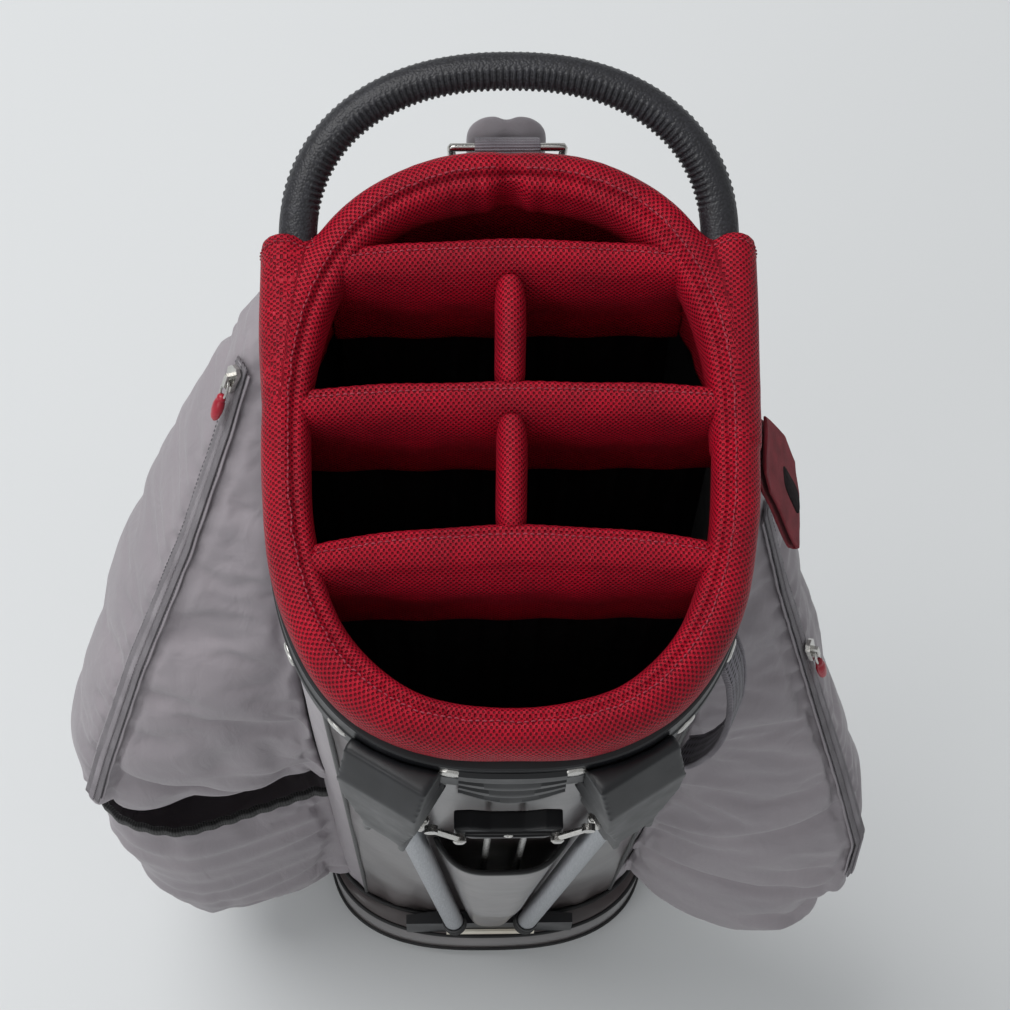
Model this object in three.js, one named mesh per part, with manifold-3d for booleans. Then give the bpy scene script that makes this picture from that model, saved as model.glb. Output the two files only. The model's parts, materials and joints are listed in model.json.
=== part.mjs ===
// Stand golf bag: base, tapered fabric body, six-way padded top, carry handle, pockets and folding legs.
// Millimetres, +Z up. Origin: centre of the sole on the floor. The legs are on the front, which faces -Y.
import * as THREE from 'three';
import { mergeVertices } from 'three/addons/utils/BufferGeometryUtils.js';
import Module from 'manifold-3d';

const wasm = await Module();
wasm.setup();

// ---------- driving dimensions ----------
const GAP = 0.35; // clearance between parts that touch
const RIM_HEIGHT = 840; // height of the rim plane at the bag's axis
const RIM_SLOPE = THREE.MathUtils.degToRad(14.5); // the rim rises towards the back
const RIM = { half: 110.5, front: 139.5, back: 134.5, frontPower: 2.6, backPower: 2.4 }; // centre of the roll
const ROLL = { width: 27, low: -22, high: 14 }; // padded roll of the rim
const SKIRT_LOW = -58; // lower edge of the plastic collar under the roll
const PANEL_TOP = -29; // the fabric panels end inside the collar
const PANEL_OFFSET = 8.2; // outer face of the panels, outward from the centre of the roll
const WALL = 3; // padded fabric wall
const FOOT = { half: 115, front: 72, back: 78, frontPower: 2.6, backPower: 2.4 }; // bottom of the panels
const BASE = { half: 121, front: 88.5, back: 88.5, frontPower: 2.6, backPower: 2.4 }; // moulded base
const BASE_TOP = 66;
const SOLE_THICKNESS = 4;
const HINGE_Y = -48; // hinge line of the tilting front of the sole
const HINGE_Z = 6;
const LEG_SPLAY = THREE.MathUtils.degToRad(32); // the leg hinge is turned this far, so that the legs spread
const LEG_LEAN = THREE.MathUtils.degToRad(6.2); // folded legs follow the taper of the body
const LEG_PIVOT = new THREE.Vector3(58, -140, 676);
const LEG_RADIUS = 7;
const LEG_LENGTH = 560; // pivot to the lower end of the tube
const ROD = { x: 10, radius: 2, top: 657, y: -145.5, taper: 0.114 }; // push rods, leaning as the front does
const HANDLE = { half: 105, depth: 77, power: 2.25, start: 105, lift: 0.16, radius: 9.2, core: 5.4 };
const RING_STEPS = 44;

// ---------- helpers ----------
const group = new THREE.Group();
const vec = (x, y, z) => new THREE.Vector3(x, y, z);
const range = (count) => Array.from({ length: count }, (unused, i) => i);
const mix = (a, b, t) => a + (b - a) * t;

function finish(colour, roughness, metalness = 0) {
  return new THREE.MeshStandardMaterial({ color: colour, roughness, metalness });
}
const RED_MESH = finish('#a01028', 0.9);
const GREY_NYLON = finish('#7d797c', 0.7);
const GREY_COATED = finish('#6d676a', 0.35);
const BLACK_FABRIC = finish('#141416', 0.9);
const BLACK_PLASTIC = finish('#26282b', 0.55);
const GRIP_RUBBER = finish('#3b3d42', 0.7);
const RUBBER = finish('#1b1b1d', 0.9);
const ALUMINIUM = finish('#b9bcc0', 0.35, 1);
const STEEL = finish('#c9cacc', 0.25, 1);
const IVORY_PLASTIC = finish('#e6dfd0', 0.5);

function add(name, geometry, material) {
  const mesh = new THREE.Mesh(geometry, material);
  mesh.name = name;
  group.add(mesh);
  return mesh;
}

/** Signed volume of an indexed geometry: positive when its faces point out. */
function volume(geometry) {
  const p = geometry.attributes.position;
  const index = geometry.index.array;
  const corner = (i) => new THREE.Vector3().fromBufferAttribute(p, index[i]);
  let sum = 0;
  for (let i = 0; i < index.length; i += 3) {
    sum += corner(i).dot(corner(i + 1).cross(corner(i + 2)));
  }
  return sum / 6;
}

/**
 * A closed solid through loops of equal length. Each loop runs out along one side and back along the
 * other, so a strip of quads closes each end. With joined, the last loop meets the first instead.
 */
function loft(loops, joined = false) {
  const count = loops[0].length;
  const index = [];
  const quad = (a, b, c, d) => index.push(a, b, c, a, c, d);
  for (let i = 0; i < loops.length - (joined ? 0 : 1); i += 1) {
    const near = i * count;
    const far = ((i + 1) % loops.length) * count;
    for (let j = 0; j < count; j += 1) {
      const k = (j + 1) % count;
      quad(near + j, near + k, far + k, far + j);
    }
  }
  const last = (loops.length - 1) * count;
  for (let j = 0; j < count / 2 - 1 && !joined; j += 1) {
    const back = count - 1 - j;
    quad(j, back, back - 1, j + 1);
    quad(last + j, last + j + 1, last + back - 1, last + back);
  }
  const geometry = new THREE.BufferGeometry();
  const points = loops.flat().flatMap((p) => [p.x, p.y, p.z]);
  geometry.setAttribute('position', new THREE.Float32BufferAttribute(points, 3));
  geometry.setIndex(index);
  if (volume(geometry) < 0) {
    geometry.setIndex(index.reverse());
  }
  return geometry;
}

function toManifold(source) {
  const bare = source.clone();
  bare.deleteAttribute('normal');
  bare.deleteAttribute('uv');
  const merged = mergeVertices(bare, 1e-3);
  return new wasm.Manifold(new wasm.Mesh({
    numProp: 3,
    vertProperties: new Float32Array(merged.attributes.position.array),
    triVerts: new Uint32Array(merged.index.array),
  }));
}

function fromManifold(solid) {
  const mesh = solid.getMesh();
  const geometry = new THREE.BufferGeometry();
  geometry.setAttribute('position', new THREE.Float32BufferAttribute(mesh.vertProperties, 3));
  geometry.setIndex(Array.from(mesh.triVerts));
  return geometry;
}

const cut = (body, ...tools) => fromManifold(
  tools.reduce((rest, tool) => rest.subtract(toManifold(tool)), toManifold(body)),
);
const join = (body, ...others) => fromManifold(
  others.reduce((whole, other) => whole.add(toManifold(other)), toManifold(body)),
);
const common = (a, b) => fromManifold(toManifold(a).intersect(toManifold(b)));

function box(x0, x1, y0, y1, z0, z1) {
  const shape = new THREE.BoxGeometry(x1 - x0, y1 - y0, z1 - z0);
  return shape.translate((x0 + x1) / 2, (y0 + y1) / 2, (z0 + z1) / 2);
}

/** A prism with its outline in two axes of the bag and its length along the third. */
function prism(points, low, high, along = 'y') {
  const shape = new THREE.Shape(points.map(([a, b]) => new THREE.Vector2(a, b)));
  const solid = new THREE.ExtrudeGeometry(shape, { depth: high - low, bevelEnabled: false });
  if (along === 'y') {
    return solid.rotateX(Math.PI / 2).translate(0, high, 0);
  }
  if (along === 'x') {
    return solid.rotateZ(Math.PI / 2).rotateY(Math.PI / 2).translate(low, 0, 0);
  }
  return solid.translate(0, 0, low);
}

/** A round bar between two points. */
function bar(from, to, radius, sides = 16) {
  const axis = to.clone().sub(from);
  const solid = new THREE.CylinderGeometry(radius, radius, axis.length(), sides);
  const turn = new THREE.Quaternion().setFromUnitVectors(vec(0, 1, 0), axis.clone().normalize());
  return solid.applyQuaternion(turn).translate(...from.clone().add(to).multiplyScalar(0.5));
}

/** A point of a rounded oval whose front half and back half differ in depth. */
function oval(angle, outline, grow = 0) {
  const c = Math.cos(angle);
  const s = Math.sin(angle);
  const power = 2 / (s < 0 ? outline.frontPower : outline.backPower);
  const depth = (s < 0 ? outline.front : outline.back) + grow;
  const x = (outline.half + grow) * Math.sign(c) * Math.abs(c) ** power;
  return [x, depth * Math.sign(s) * Math.abs(s) ** power];
}

/** Half the width of such an oval at a distance y from its middle. */
function halfWidth(outline, y, grow = 0) {
  const power = y < 0 ? outline.frontPower : outline.backPower;
  const depth = (y < 0 ? outline.front : outline.back) + grow;
  return (outline.half + grow) * (1 - Math.min(1, Math.abs(y) / depth) ** power) ** (1 / power);
}

/** The sloping rim's own coordinates: p to the right, q along the slope to the back, h straight up. */
function rim(p, q, h) {
  return vec(p, q * Math.cos(RIM_SLOPE), RIM_HEIGHT + q * Math.sin(RIM_SLOPE) + h);
}

/** A ring that follows the rim, from the outline of its section in (outward, up). */
function rimRing(section) {
  return loft(range(RING_STEPS).map((i) => {
    const angle = (2 * Math.PI * i) / RING_STEPS;
    return section.map(([out, up]) => rim(...oval(angle, RIM, out), up));
  }), true);
}

/** Points of a rounded section, in the order that loft needs. */
function roundSection(width, height, power, sides) {
  return range(sides).map((i) => {
    const angle = (2 * Math.PI * (i + 0.5)) / sides;
    const a = Math.cos(angle);
    const b = Math.sin(angle);
    const e = 2 / power;
    return [(width / 2) * Math.sign(a) * Math.abs(a) ** e, (height / 2) * Math.sign(b) * Math.abs(b) ** e];
  });
}

/** The outer face of the fabric body: share 0 at the base and 1 at the collar. */
function bodyPoint(angle, share, grow = 0) {
  const [x0, y0] = oval(angle, FOOT, grow);
  const top = rim(...oval(angle, RIM, PANEL_OFFSET + grow), SKIRT_LOW - 4);
  return vec(mix(x0, top.x, share), mix(y0, top.y, share), mix(BASE_TOP + GAP, top.z, share));
}

/** The whole body as one solid, grown by a clearance, for cutting the parts that lie against it. */
function bodyBlock(grow) {
  const shares = [-0.05, 0, 0.5, 1];
  const loops = shares.map((share) => range(RING_STEPS).map((i) => (
    bodyPoint((2 * Math.PI * (i + 0.5)) / RING_STEPS, share, grow))));
  const collar = [SKIRT_LOW - 4, SKIRT_LOW - GAP, SKIRT_LOW - GAP, ROLL.low + 10].map((up, k) => (
    range(RING_STEPS).map((i) => (
      rim(...oval((2 * Math.PI * (i + 0.5)) / RING_STEPS, RIM, grow + (k < 2 ? PANEL_OFFSET : 12)), up)))));
  return loft([...loops, ...collar.slice(1)]);
}

// ---------- base ----------
function baseBlock(levels, outline) {
  return loft(levels.map(([z, grow]) => range(RING_STEPS).map((i) => {
    const [x, y] = oval((2 * Math.PI * (i + 0.5)) / RING_STEPS, outline, grow);
    return vec(x, y, z);
  })));
}

const HINGE_HALF = 20; // half the width of the sole's hinge knuckle
const SPLIT_Y = HINGE_Y + 2;

function baseCup() {
  const outside = baseBlock([[SOLE_THICKNESS + GAP, -3], [12, 0], [60, 0], [BASE_TOP, -3]], BASE);
  const inside = baseBlock([[22, -3 - WALL], [BASE_TOP + 4, -WALL]], FOOT);
  const wedge = prism([[SPLIT_Y, 4.7], [-100, 17.5], [-100, 0], [SPLIT_Y, 0]], -140, 140, 'x');
  const knuckleRoom = box(-HINGE_HALF - 0.5, HINGE_HALF + 0.5, HINGE_Y - 6, HINGE_Y + 4.5, 0, 11);
  const hingeEnd = (side, past) => vec(side * (HINGE_HALF + past), HINGE_Y, HINGE_Z + 0.5);
  const pinHole = bar(hingeEnd(-1, 8), hingeEnd(1, 8), 2.2);
  return cut(outside, inside, wedge, knuckleRoom, pinHole);
}

function footPlate() {
  const disc = baseBlock([[0.4, -4], [SOLE_THICKNESS + 0.3, -3]], BASE);
  const front = common(disc, box(-140, 140, -120, SPLIT_Y - 0.4, -5, 20));
  const knuckle = box(-HINGE_HALF, HINGE_HALF, HINGE_Y - 3, HINGE_Y + 1.6, 2, 9.5);
  const hingeEnd = (side) => vec(side * (HINGE_HALF + 4), HINGE_Y, HINGE_Z + 0.5);
  const hole = bar(hingeEnd(-1), hingeEnd(1), 1.3);
  return cut(join(front, knuckle), hole);
}

add('base_cup', baseCup(), GREY_COATED);
add('sole_pad', common(
  baseBlock([[0, -5], [SOLE_THICKNESS, -3]], BASE),
  box(-140, 140, SPLIT_Y + 0.3, 120, -5, 20),
), RUBBER);
add('foot_plate', footPlate(), RUBBER);
add('foot_hinge_pin', bar(
  vec(-HINGE_HALF - 6, HINGE_Y, HINGE_Z + 0.5),
  vec(HINGE_HALF + 6, HINGE_Y, HINGE_Z + 0.5),
  1,
  12,
), STEEL);

// ---------- fabric body ----------
const FRONT_CORNER = THREE.MathUtils.degToRad(41.6);
const BACK_CORNER = THREE.MathUtils.degToRad(48);
const SEAM = THREE.MathUtils.degToRad(0.2);

function panel(from, to, steps) {
  const angles = range(steps + 1).map((i) => mix(from + SEAM, to - SEAM, i / steps));
  const loop = (point) => [
    ...angles.map((angle) => point(angle, 0)),
    ...angles.slice().reverse().map((angle) => point(angle, -WALL)),
  ];
  const levels = [0, 0.33, 0.67, 1].map((share) => loop((angle, grow) => bodyPoint(angle, share, grow)));
  const top = loop((angle, grow) => rim(...oval(angle, RIM, PANEL_OFFSET + grow), PANEL_TOP));
  return loft([...levels, top]);
}

add('front_panel', panel(-Math.PI + FRONT_CORNER, -FRONT_CORNER, 14), GREY_COATED);
add('right_panel', panel(-FRONT_CORNER, BACK_CORNER, 12), GREY_NYLON);
add('back_panel', panel(BACK_CORNER, Math.PI - BACK_CORNER, 12), GREY_NYLON);
add('left_panel', panel(Math.PI - BACK_CORNER, Math.PI + FRONT_CORNER, 12), GREY_NYLON);

/** The front wall's y at a height and a distance from the middle. */
function frontY(x, z) {
  const share = (z - BASE_TOP - GAP) / (rim(0, -RIM.front - PANEL_OFFSET, SKIRT_LOW - 4).z - BASE_TOP - GAP);
  const depth = mix(FOOT.front, (RIM.front + PANEL_OFFSET) * Math.cos(RIM_SLOPE), share);
  const half = mix(FOOT.half, RIM.half + PANEL_OFFSET, share);
  return -depth * (1 - (Math.abs(x) / half) ** RIM.frontPower) ** (1 / RIM.frontPower);
}

/** The fabric spine over the push rods, open along its top edge. */
function rodCover() {
  const across = range(13).map((i) => mix(-1, 1, i / 12));
  const levels = [[124, 16.5, 0], [250, 25, 0], [400, 32.5, 0], [520, 39, 14]];
  return loft(levels.map(([z, half, dip]) => {
    const face = (lift) => across.map((u) => {
      const y = frontY(u * half, z) - 1.4 - lift - 18.5 * (1 - u ** 4);
      return vec(u * half, y, z - dip * (1 - u * u));
    });
    return [...face(2), ...face(0).reverse()];
  }));
}
add('rod_cover', rodCover(), GREY_COATED);

/** A stiffening rod that holds the back of the body straight. */
add('back_stay', bar(vec(0, 70.5, 72), vec(0, 128, 790), 3, 10), BLACK_PLASTIC);

// ---------- collar ----------
const COLLAR_SECTION = [
  [-2, -4], [2, -4], [2, -24.3], [12, -24.3], [12, SKIRT_LOW], [9, SKIRT_LOW], [9, PANEL_TOP + 1],
  [2, PANEL_TOP + 1], [2, SKIRT_LOW - 2], [-2, SKIRT_LOW - 2],
];

function rollBlock(grow) {
  const middle = (ROLL.low + ROLL.high) / 2;
  const height = ROLL.high - ROLL.low;
  const ring = rimRing(roundSection(ROLL.width + 2 * grow, height + 2 * grow, 2.4, 12)
    .map(([out, up]) => [out, up + middle]));
  const section = roundSection(25 + 2 * grow, height - 1 + 2 * grow, 2.4, 12);
  const sleeves = [-1, 1].map((side) => loft([20, 70, 106 + grow].map((q) => (
    section.map(([out, up]) => rim(side * (111 + out), q, up + middle))))));
  return join(ring, ...sleeves);
}

/** Centre line of the carry handle: straight legs in the sleeves, then an arch behind the rim. */
function handlePath(legStart) {
  const arch = range(21).map((i) => {
    const angle = (Math.PI * i) / 20;
    const e = 2 / HANDLE.power;
    const out = HANDLE.depth * Math.sin(angle) ** e;
    const c = Math.cos(angle);
    return rim(HANDLE.half * Math.sign(c) * Math.abs(c) ** e, HANDLE.start + out, -2 + HANDLE.lift * out);
  });
  return [rim(HANDLE.half, legStart, -2), ...arch, rim(-HANDLE.half, legStart, -2)];
}

function handleTube(radius, legStart, sides, hole = 0) {
  const points = handlePath(legStart);
  const loops = (size) => points.map((point, i) => {
    const before = points[Math.max(0, i - 1)];
    const after = points[Math.min(points.length - 1, i + 1)];
    const along = after.clone().sub(before).normalize();
    const across = along.clone().cross(vec(0, 0, 1)).normalize();
    const up = across.clone().cross(along);
    return range(sides).map((k) => {
      const angle = (2 * Math.PI * (k + 0.5)) / sides;
      return point.clone()
        .addScaledVector(across, size * Math.cos(angle))
        .addScaledVector(up, size * Math.sin(angle));
    });
  });
  return hole ? cut(loft(loops(radius)), handleTube(hole, legStart - 6, sides)) : loft(loops(radius));
}

const GRIP_START = 95;
const CORE_START = 80;
add('collar_frame', rimRing(COLLAR_SECTION), BLACK_PLASTIC);
const wallRoom = rimRing([[-2 - GAP, -4 + GAP], [2 + GAP, -4 + GAP], [2 + GAP, -40], [-2 - GAP, -40]]);
add('collar_pad', cut(
  rollBlock(0),
  wallRoom,
  handleTube(HANDLE.radius + GAP, GRIP_START - GAP, 12),
  handleTube(HANDLE.core + GAP, CORE_START - GAP, 12),
), RED_MESH);
add('handle_core', handleTube(HANDLE.core, CORE_START, 10), BLACK_PLASTIC);
add('handle_grip', handleTube(HANDLE.radius, GRIP_START, 12, HANDLE.core + GAP), GRIP_RUBBER);

// ---------- dividers ----------
const BAR_WIDTH = 7;
const BEAM = { low: -46, step: -24.8, high: -8 };
const CROSS_BARS = [
  { name: 'rear', q: 88, width: 24, bow: 4, foot: 40 },
  { name: 'middle', q: 19, width: 23, bow: 3, foot: 2 },
  { name: 'front', q: -58, width: 27, bow: 7, foot: -38 },
];
const CENTRE_BARS = [
  { name: 'rear_centre', ahead: CROSS_BARS[1], behind: CROSS_BARS[0] },
  { name: 'front_centre', ahead: CROSS_BARS[2], behind: CROSS_BARS[1] },
];
const PAD = { low: -24, high: 7 };
const rollRoom = rollBlock(0.6);

const WEB_INSET = 22; // the tall web of a cross bar stops this far inside the collar

/** How far a cross bar at q reaches to each side inside the collar. */
const barReach = (q) => Math.min(halfWidth(RIM, q - 4, -2), halfWidth(RIM, q + 4, -2));

function crossBeam(q) {
  const end = barReach(q) - 0.5;
  const web = end - WEB_INSET;
  const outline = [
    [-end, BEAM.low], [end, BEAM.low], [end, BEAM.step], [web, BEAM.step], [web, BEAM.high],
    [-web, BEAM.high], [-web, BEAM.step], [-end, BEAM.step],
  ];
  const beam = prism(outline, -BAR_WIDTH / 2, BAR_WIDTH / 2, 'y');
  return beam.translate(...rim(0, q, 0));
}

/** A padded bar along the rim's slope or across it, with rounded ends. */
function padBlock(from, to, width, bow) {
  const stations = [0, 0.03, 0.08, 0.25, 0.5, 0.75, 0.92, 0.97, 1];
  const fullness = [0.72, 0.9, 1, 1, 1, 1, 1, 0.9, 0.72];
  const middle = (PAD.low + PAD.high) / 2;
  const along = to[0] !== from[0];
  return loft(stations.map((t, i) => {
    const height = (PAD.high - PAD.low) * mix(1, fullness[i], 0.5);
    return roundSection(width * fullness[i], height, 2.6, 14).map(([a, b]) => {
      const bend = bow * (1 - (2 * t - 1) ** 2);
      const p = mix(from[0], to[0], t) + (along ? 0 : a);
      const q = mix(from[1], to[1], t) + (along ? a + bend : 0);
      return rim(p, q, middle + b);
    });
  }));
}

function beamRoom(q) {
  const outline = [[-130, -60], [130, -60], [130, BEAM.high + GAP], [-130, BEAM.high + GAP]];
  return prism(outline, -BAR_WIDTH / 2 - GAP, BAR_WIDTH / 2 + GAP, 'y').translate(...rim(0, q, 0));
}

/** The block of a cross bar's pad, a little wider where it makes room for a centre bar's pad. */
function crossPad({ q, width, bow }, extra = 0) {
  const end = halfWidth(RIM, q, -6);
  return padBlock([-end, q], [end, q], width + extra, bow);
}

CROSS_BARS.forEach((cross) => {
  const webEnd = barReach(cross.q) - WEB_INSET + 1.5;
  const room = common(beamRoom(cross.q), box(-webEnd, webEnd, -300, 300, 0, 2000));
  const block = crossPad(cross);
  add(`${cross.name}_bar`, crossBeam(cross.q), BLACK_PLASTIC);
  add(`${cross.name}_bar_pad`, cut(block, rollRoom, room), RED_MESH);
});

CENTRE_BARS.forEach(({ name, ahead, behind }) => {
  const start = ahead.q + ahead.width / 2 + ahead.bow + 0.8;
  const stop = behind.q - behind.width / 2 + behind.bow - 3;
  const beamStart = rim(0, ahead.q + BAR_WIDTH / 2 + GAP, 0);
  const beamStop = rim(0, behind.q - BAR_WIDTH / 2 - GAP, 0);
  const slope = (y) => (y - beamStart.y) * Math.tan(RIM_SLOPE) + beamStart.z;
  const padStart = rim(0, start + 4, 0).y;
  const padStop = rim(0, stop - 4, 0).y;
  const outline = [
    [beamStart.y, slope(beamStart.y) + BEAM.low], [beamStop.y, slope(beamStop.y) + BEAM.low],
    [beamStop.y, slope(beamStop.y) + BEAM.step], [padStop, slope(padStop) + BEAM.step],
    [padStop, slope(padStop) + BEAM.high], [padStart, slope(padStart) + BEAM.high],
    [padStart, slope(padStart) + BEAM.step], [beamStart.y, slope(beamStart.y) + BEAM.step],
  ];
  const room = [
    [padStart - 1, slope(padStart) - 80], [padStop + 1, slope(padStop) - 80],
    [padStop + 1, slope(padStop) + BEAM.high + GAP], [padStart - 1, slope(padStart) + BEAM.high + GAP],
  ];
  const rest = [ahead, behind].map((cross) => crossPad(cross, 1.2));
  add(`${name}_bar`, prism(outline, -BAR_WIDTH / 2, BAR_WIDTH / 2, 'x'), BLACK_PLASTIC);
  add(`${name}_bar_pad`, cut(
    padBlock([0, start], [0, stop], 17, 0),
    prism(room, -BAR_WIDTH / 2 - GAP, BAR_WIDTH / 2 + GAP, 'x'),
    ...rest,
  ), RED_MESH);
});

const SHEET = { thickness: 1.6, foot: 92, top: BEAM.low - 0.6 };

function crossSheet({ q, foot }) {
  const high = rim(0, q, SHEET.top);
  const wide = halfWidth(RIM, q, -2) - 5;
  const narrow = halfWidth(FOOT, foot, -WALL) - 5;
  const loop = (half, y, z) => [
    vec(-half, y - SHEET.thickness / 2, z), vec(half, y - SHEET.thickness / 2, z),
    vec(half, y + SHEET.thickness / 2, z), vec(-half, y + SHEET.thickness / 2, z),
  ];
  return loft([loop(narrow, foot, SHEET.foot), loop(wide, high.y, high.z)]);
}

function centreSheet({ ahead, behind }) {
  const a = rim(0, ahead.q, SHEET.top);
  const b = rim(0, behind.q, SHEET.top);
  const outline = [
    [ahead.foot + 2, SHEET.foot], [behind.foot - 2, SHEET.foot],
    [b.y - 2, b.z], [a.y + 2, a.z],
  ];
  return prism(outline, -SHEET.thickness / 2, SHEET.thickness / 2, 'x');
}
CROSS_BARS.forEach((cross) => add(`${cross.name}_divider_sheet`, crossSheet(cross), BLACK_FABRIC));
CENTRE_BARS.forEach((centre) => add(`${centre.name}_divider_sheet`, centreSheet(centre), BLACK_FABRIC));

// ---------- folding legs ----------
const bodyRoom = bodyBlock(GAP + 0.2);

/** Each leg's own frame: its hinge axis is local X and it swings towards local -Y. */
function legMatrix(side) {
  const pivot = vec(side * LEG_PIVOT.x, LEG_PIVOT.y, LEG_PIVOT.z);
  return new THREE.Matrix4().makeRotationZ(side * LEG_SPLAY).setPosition(pivot);
}
const lean = (geometry) => geometry.rotateX(LEG_LEAN);

function legMount(side) {
  const outline = [[-13, -13], [13, -13], [13, 7], [side > 0 ? 25 : 21, 44], [side > 0 ? 26 : 22, 96],
    [side > 0 ? -22 : -26, 96], [side > 0 ? -21 : -25, 44], [-13, 7]];
  const housing = prism(outline, -17, 34, 'y');
  const slope = prism([[-17.5, -20], [-17.5, 70], [-6, 100], [-40, 100], [-40, -20]], -40, 40, 'x');
  const bay = box(-8.6, 8.6, -13, 60, -40, 15);
  const mouth = box(-8.6, 8.6, -30, 60, -40, -1);
  const pin = bar(vec(-40, 0, 0), vec(40, 0, 0), 3.3, 16);
  return cut(cut(housing, slope, bay, mouth, pin).applyMatrix4(legMatrix(side)), bodyRoom);
}

function legPin(side) {
  const shaft = bar(vec(-16, 0, 0), vec(16, 0, 0), 2.9, 16);
  const heads = [-1, 1].map((end) => bar(vec(end * 14.2, 0, 0), vec(end * 16.5, 0, 0), 5, 16));
  return join(shaft, ...heads).applyMatrix4(legMatrix(side));
}

function legHead(side) {
  const crown = bar(vec(-8, 0, 0), vec(8, 0, 0), 10, 20);
  const shank = lean(box(-8, 8, -9.5, 8.6, -46, 0));
  const eye = bar(vec(-20, 0, 0), vec(20, 0, 0), 3.25, 16);
  const socket = lean(bar(vec(0, 0, -60), vec(0, 0, -20), LEG_RADIUS + GAP, 16));
  return cut(join(crown, shank), eye, socket).applyMatrix4(legMatrix(side));
}

function legTube(side) {
  return lean(bar(vec(0, 0, -LEG_LENGTH), vec(0, 0, -20.4), LEG_RADIUS, 16)).applyMatrix4(legMatrix(side));
}

function legFoot(side) {
  const profile = [[0, -14], [5, -13.2], [8.4, -10], [9.3, -5], [9.3, 4], [8.8, 16], [8.2, 18],
    [LEG_RADIUS + GAP, 18], [LEG_RADIUS + GAP, -GAP], [0, -GAP]];
  const cap = new THREE.LatheGeometry(profile.map(([r, z]) => new THREE.Vector2(r, z)), 16);
  return lean(cap.rotateX(Math.PI / 2).translate(0, 0, -LEG_LENGTH)).applyMatrix4(legMatrix(side));
}

[['left', -1], ['right', 1]].forEach(([name, side]) => {
  add(`${name}_leg_mount`, legMount(side), BLACK_PLASTIC);
  add(`${name}_leg_pin`, legPin(side), STEEL);
  add(`${name}_leg_head`, legHead(side), BLACK_PLASTIC);
  add(`${name}_leg_tube`, legTube(side), ALUMINIUM);
  add(`${name}_leg_foot`, legFoot(side), RUBBER);
});

// ---------- leg linkage ----------
const SLIDER = { half: 29, low: 655, high: 676, back: -140.5, front: -152 };
const ROD_FOOT = 78;
const rodY = (z) => ROD.y - (z - ROD.top) * ROD.taper;

function linkSlider() {
  const { half, low, high } = SLIDER;
  const outline = [
    [-half, high - 1], [-half, low + 11], [-half + 9, low], [half - 9, low], [half, low + 11],
    [half, high - 1], [half - 9, high], [9, high - 4], [-9, high - 4], [-half + 9, high],
  ];
  const block = prism(outline, SLIDER.front, SLIDER.back, 'y');
  const sockets = [-1, 1].map((side) => bar(
    vec(side * ROD.x, rodY(low - 10), low - 10),
    vec(side * ROD.x, rodY(ROD.top + 5), ROD.top + 5),
    ROD.radius + GAP,
    12,
  ));
  return cut(block, ...sockets);
}

function linkArm(side) {
  const low = vec(side * 26, SLIDER.front - 2.6, SLIDER.low + 13);
  const high = vec(side * 41, SLIDER.front - 4.6, SLIDER.low + 42);
  const rod = bar(low, high, 1.9, 12);
  const eyeEnd = (at, side) => vec(at.x, at.y + side * 1.9, at.z);
  const eyes = [low, high].map((at) => bar(eyeEnd(at, -1), eyeEnd(at, 1), 3.6, 14));
  return join(rod, ...eyes);
}

add('link_slider', linkSlider(), BLACK_PLASTIC);
[['left', -1], ['right', 1]].forEach(([name, side]) => {
  add(`${name}_link_arm`, linkArm(side), STEEL);
  add(`${name}_push_rod`, bar(
    vec(side * ROD.x, rodY(ROD_FOOT), ROD_FOOT),
    vec(side * ROD.x, rodY(ROD.top + 4), ROD.top + 4),
    ROD.radius,
    12,
  ), STEEL);
});

const LEG_REST_TOP = 97;
/** One moulding on the base's ledge: it guides the push rods and the folded feet rest over it. */
function legRest() {
  const outline = [[-62, -84.5], [62, -84.5], [62, -77.5], [40, -75.2], [-40, -75.2], [-62, -77.5]];
  const block = prism(outline, BASE_TOP + GAP, LEG_REST_TOP, 'z');
  const fromBody = bodyBlock(0.5);
  const holes = [-1, 1].map((side) => bar(
    vec(side * ROD.x, rodY(50), 50),
    vec(side * ROD.x, rodY(120), 120),
    ROD.radius + 0.6,
    12,
  ));
  return cut(block, fromBody, ...holes);
}
add('leg_rest', legRest(), BLACK_PLASTIC);
add('label_plate', box(-32, 34, -86.6, -84.9, BASE_TOP + GAP, 76.5), IVORY_PLASTIC);

// ---------- pockets ----------
const POUCH = { root: 96, power: 3.2, steps: 22 };

/** A pouch against one side of the body, from stations of [height, back y, front y, reach, lean]. */
function pouch(side, stations, inset = 0, mouth = 0) {
  const last = stations.length - 1;
  return loft(stations.map(([height, back, front, reach, slant], i) => {
    const z = height + (i === 0 && !mouth ? inset : 0) + (i === last ? (mouth || -inset) : 0);
    const middle = (back + front) / 2;
    const depth = (back - front) / 2 - inset;
    const points = range(POUCH.steps).map((k) => {
      const angle = (Math.PI * k) / (POUCH.steps - 1) - Math.PI / 2;
      const c = Math.cos(angle) ** (2 / POUCH.power);
      const s = Math.sign(Math.sin(angle)) * Math.abs(Math.sin(angle)) ** (2 / POUCH.power);
      return vec(side * (POUCH.root + (reach - POUCH.root - inset) * c), middle + depth * s + slant * c, z);
    });
    return points;
  }));
}

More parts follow.
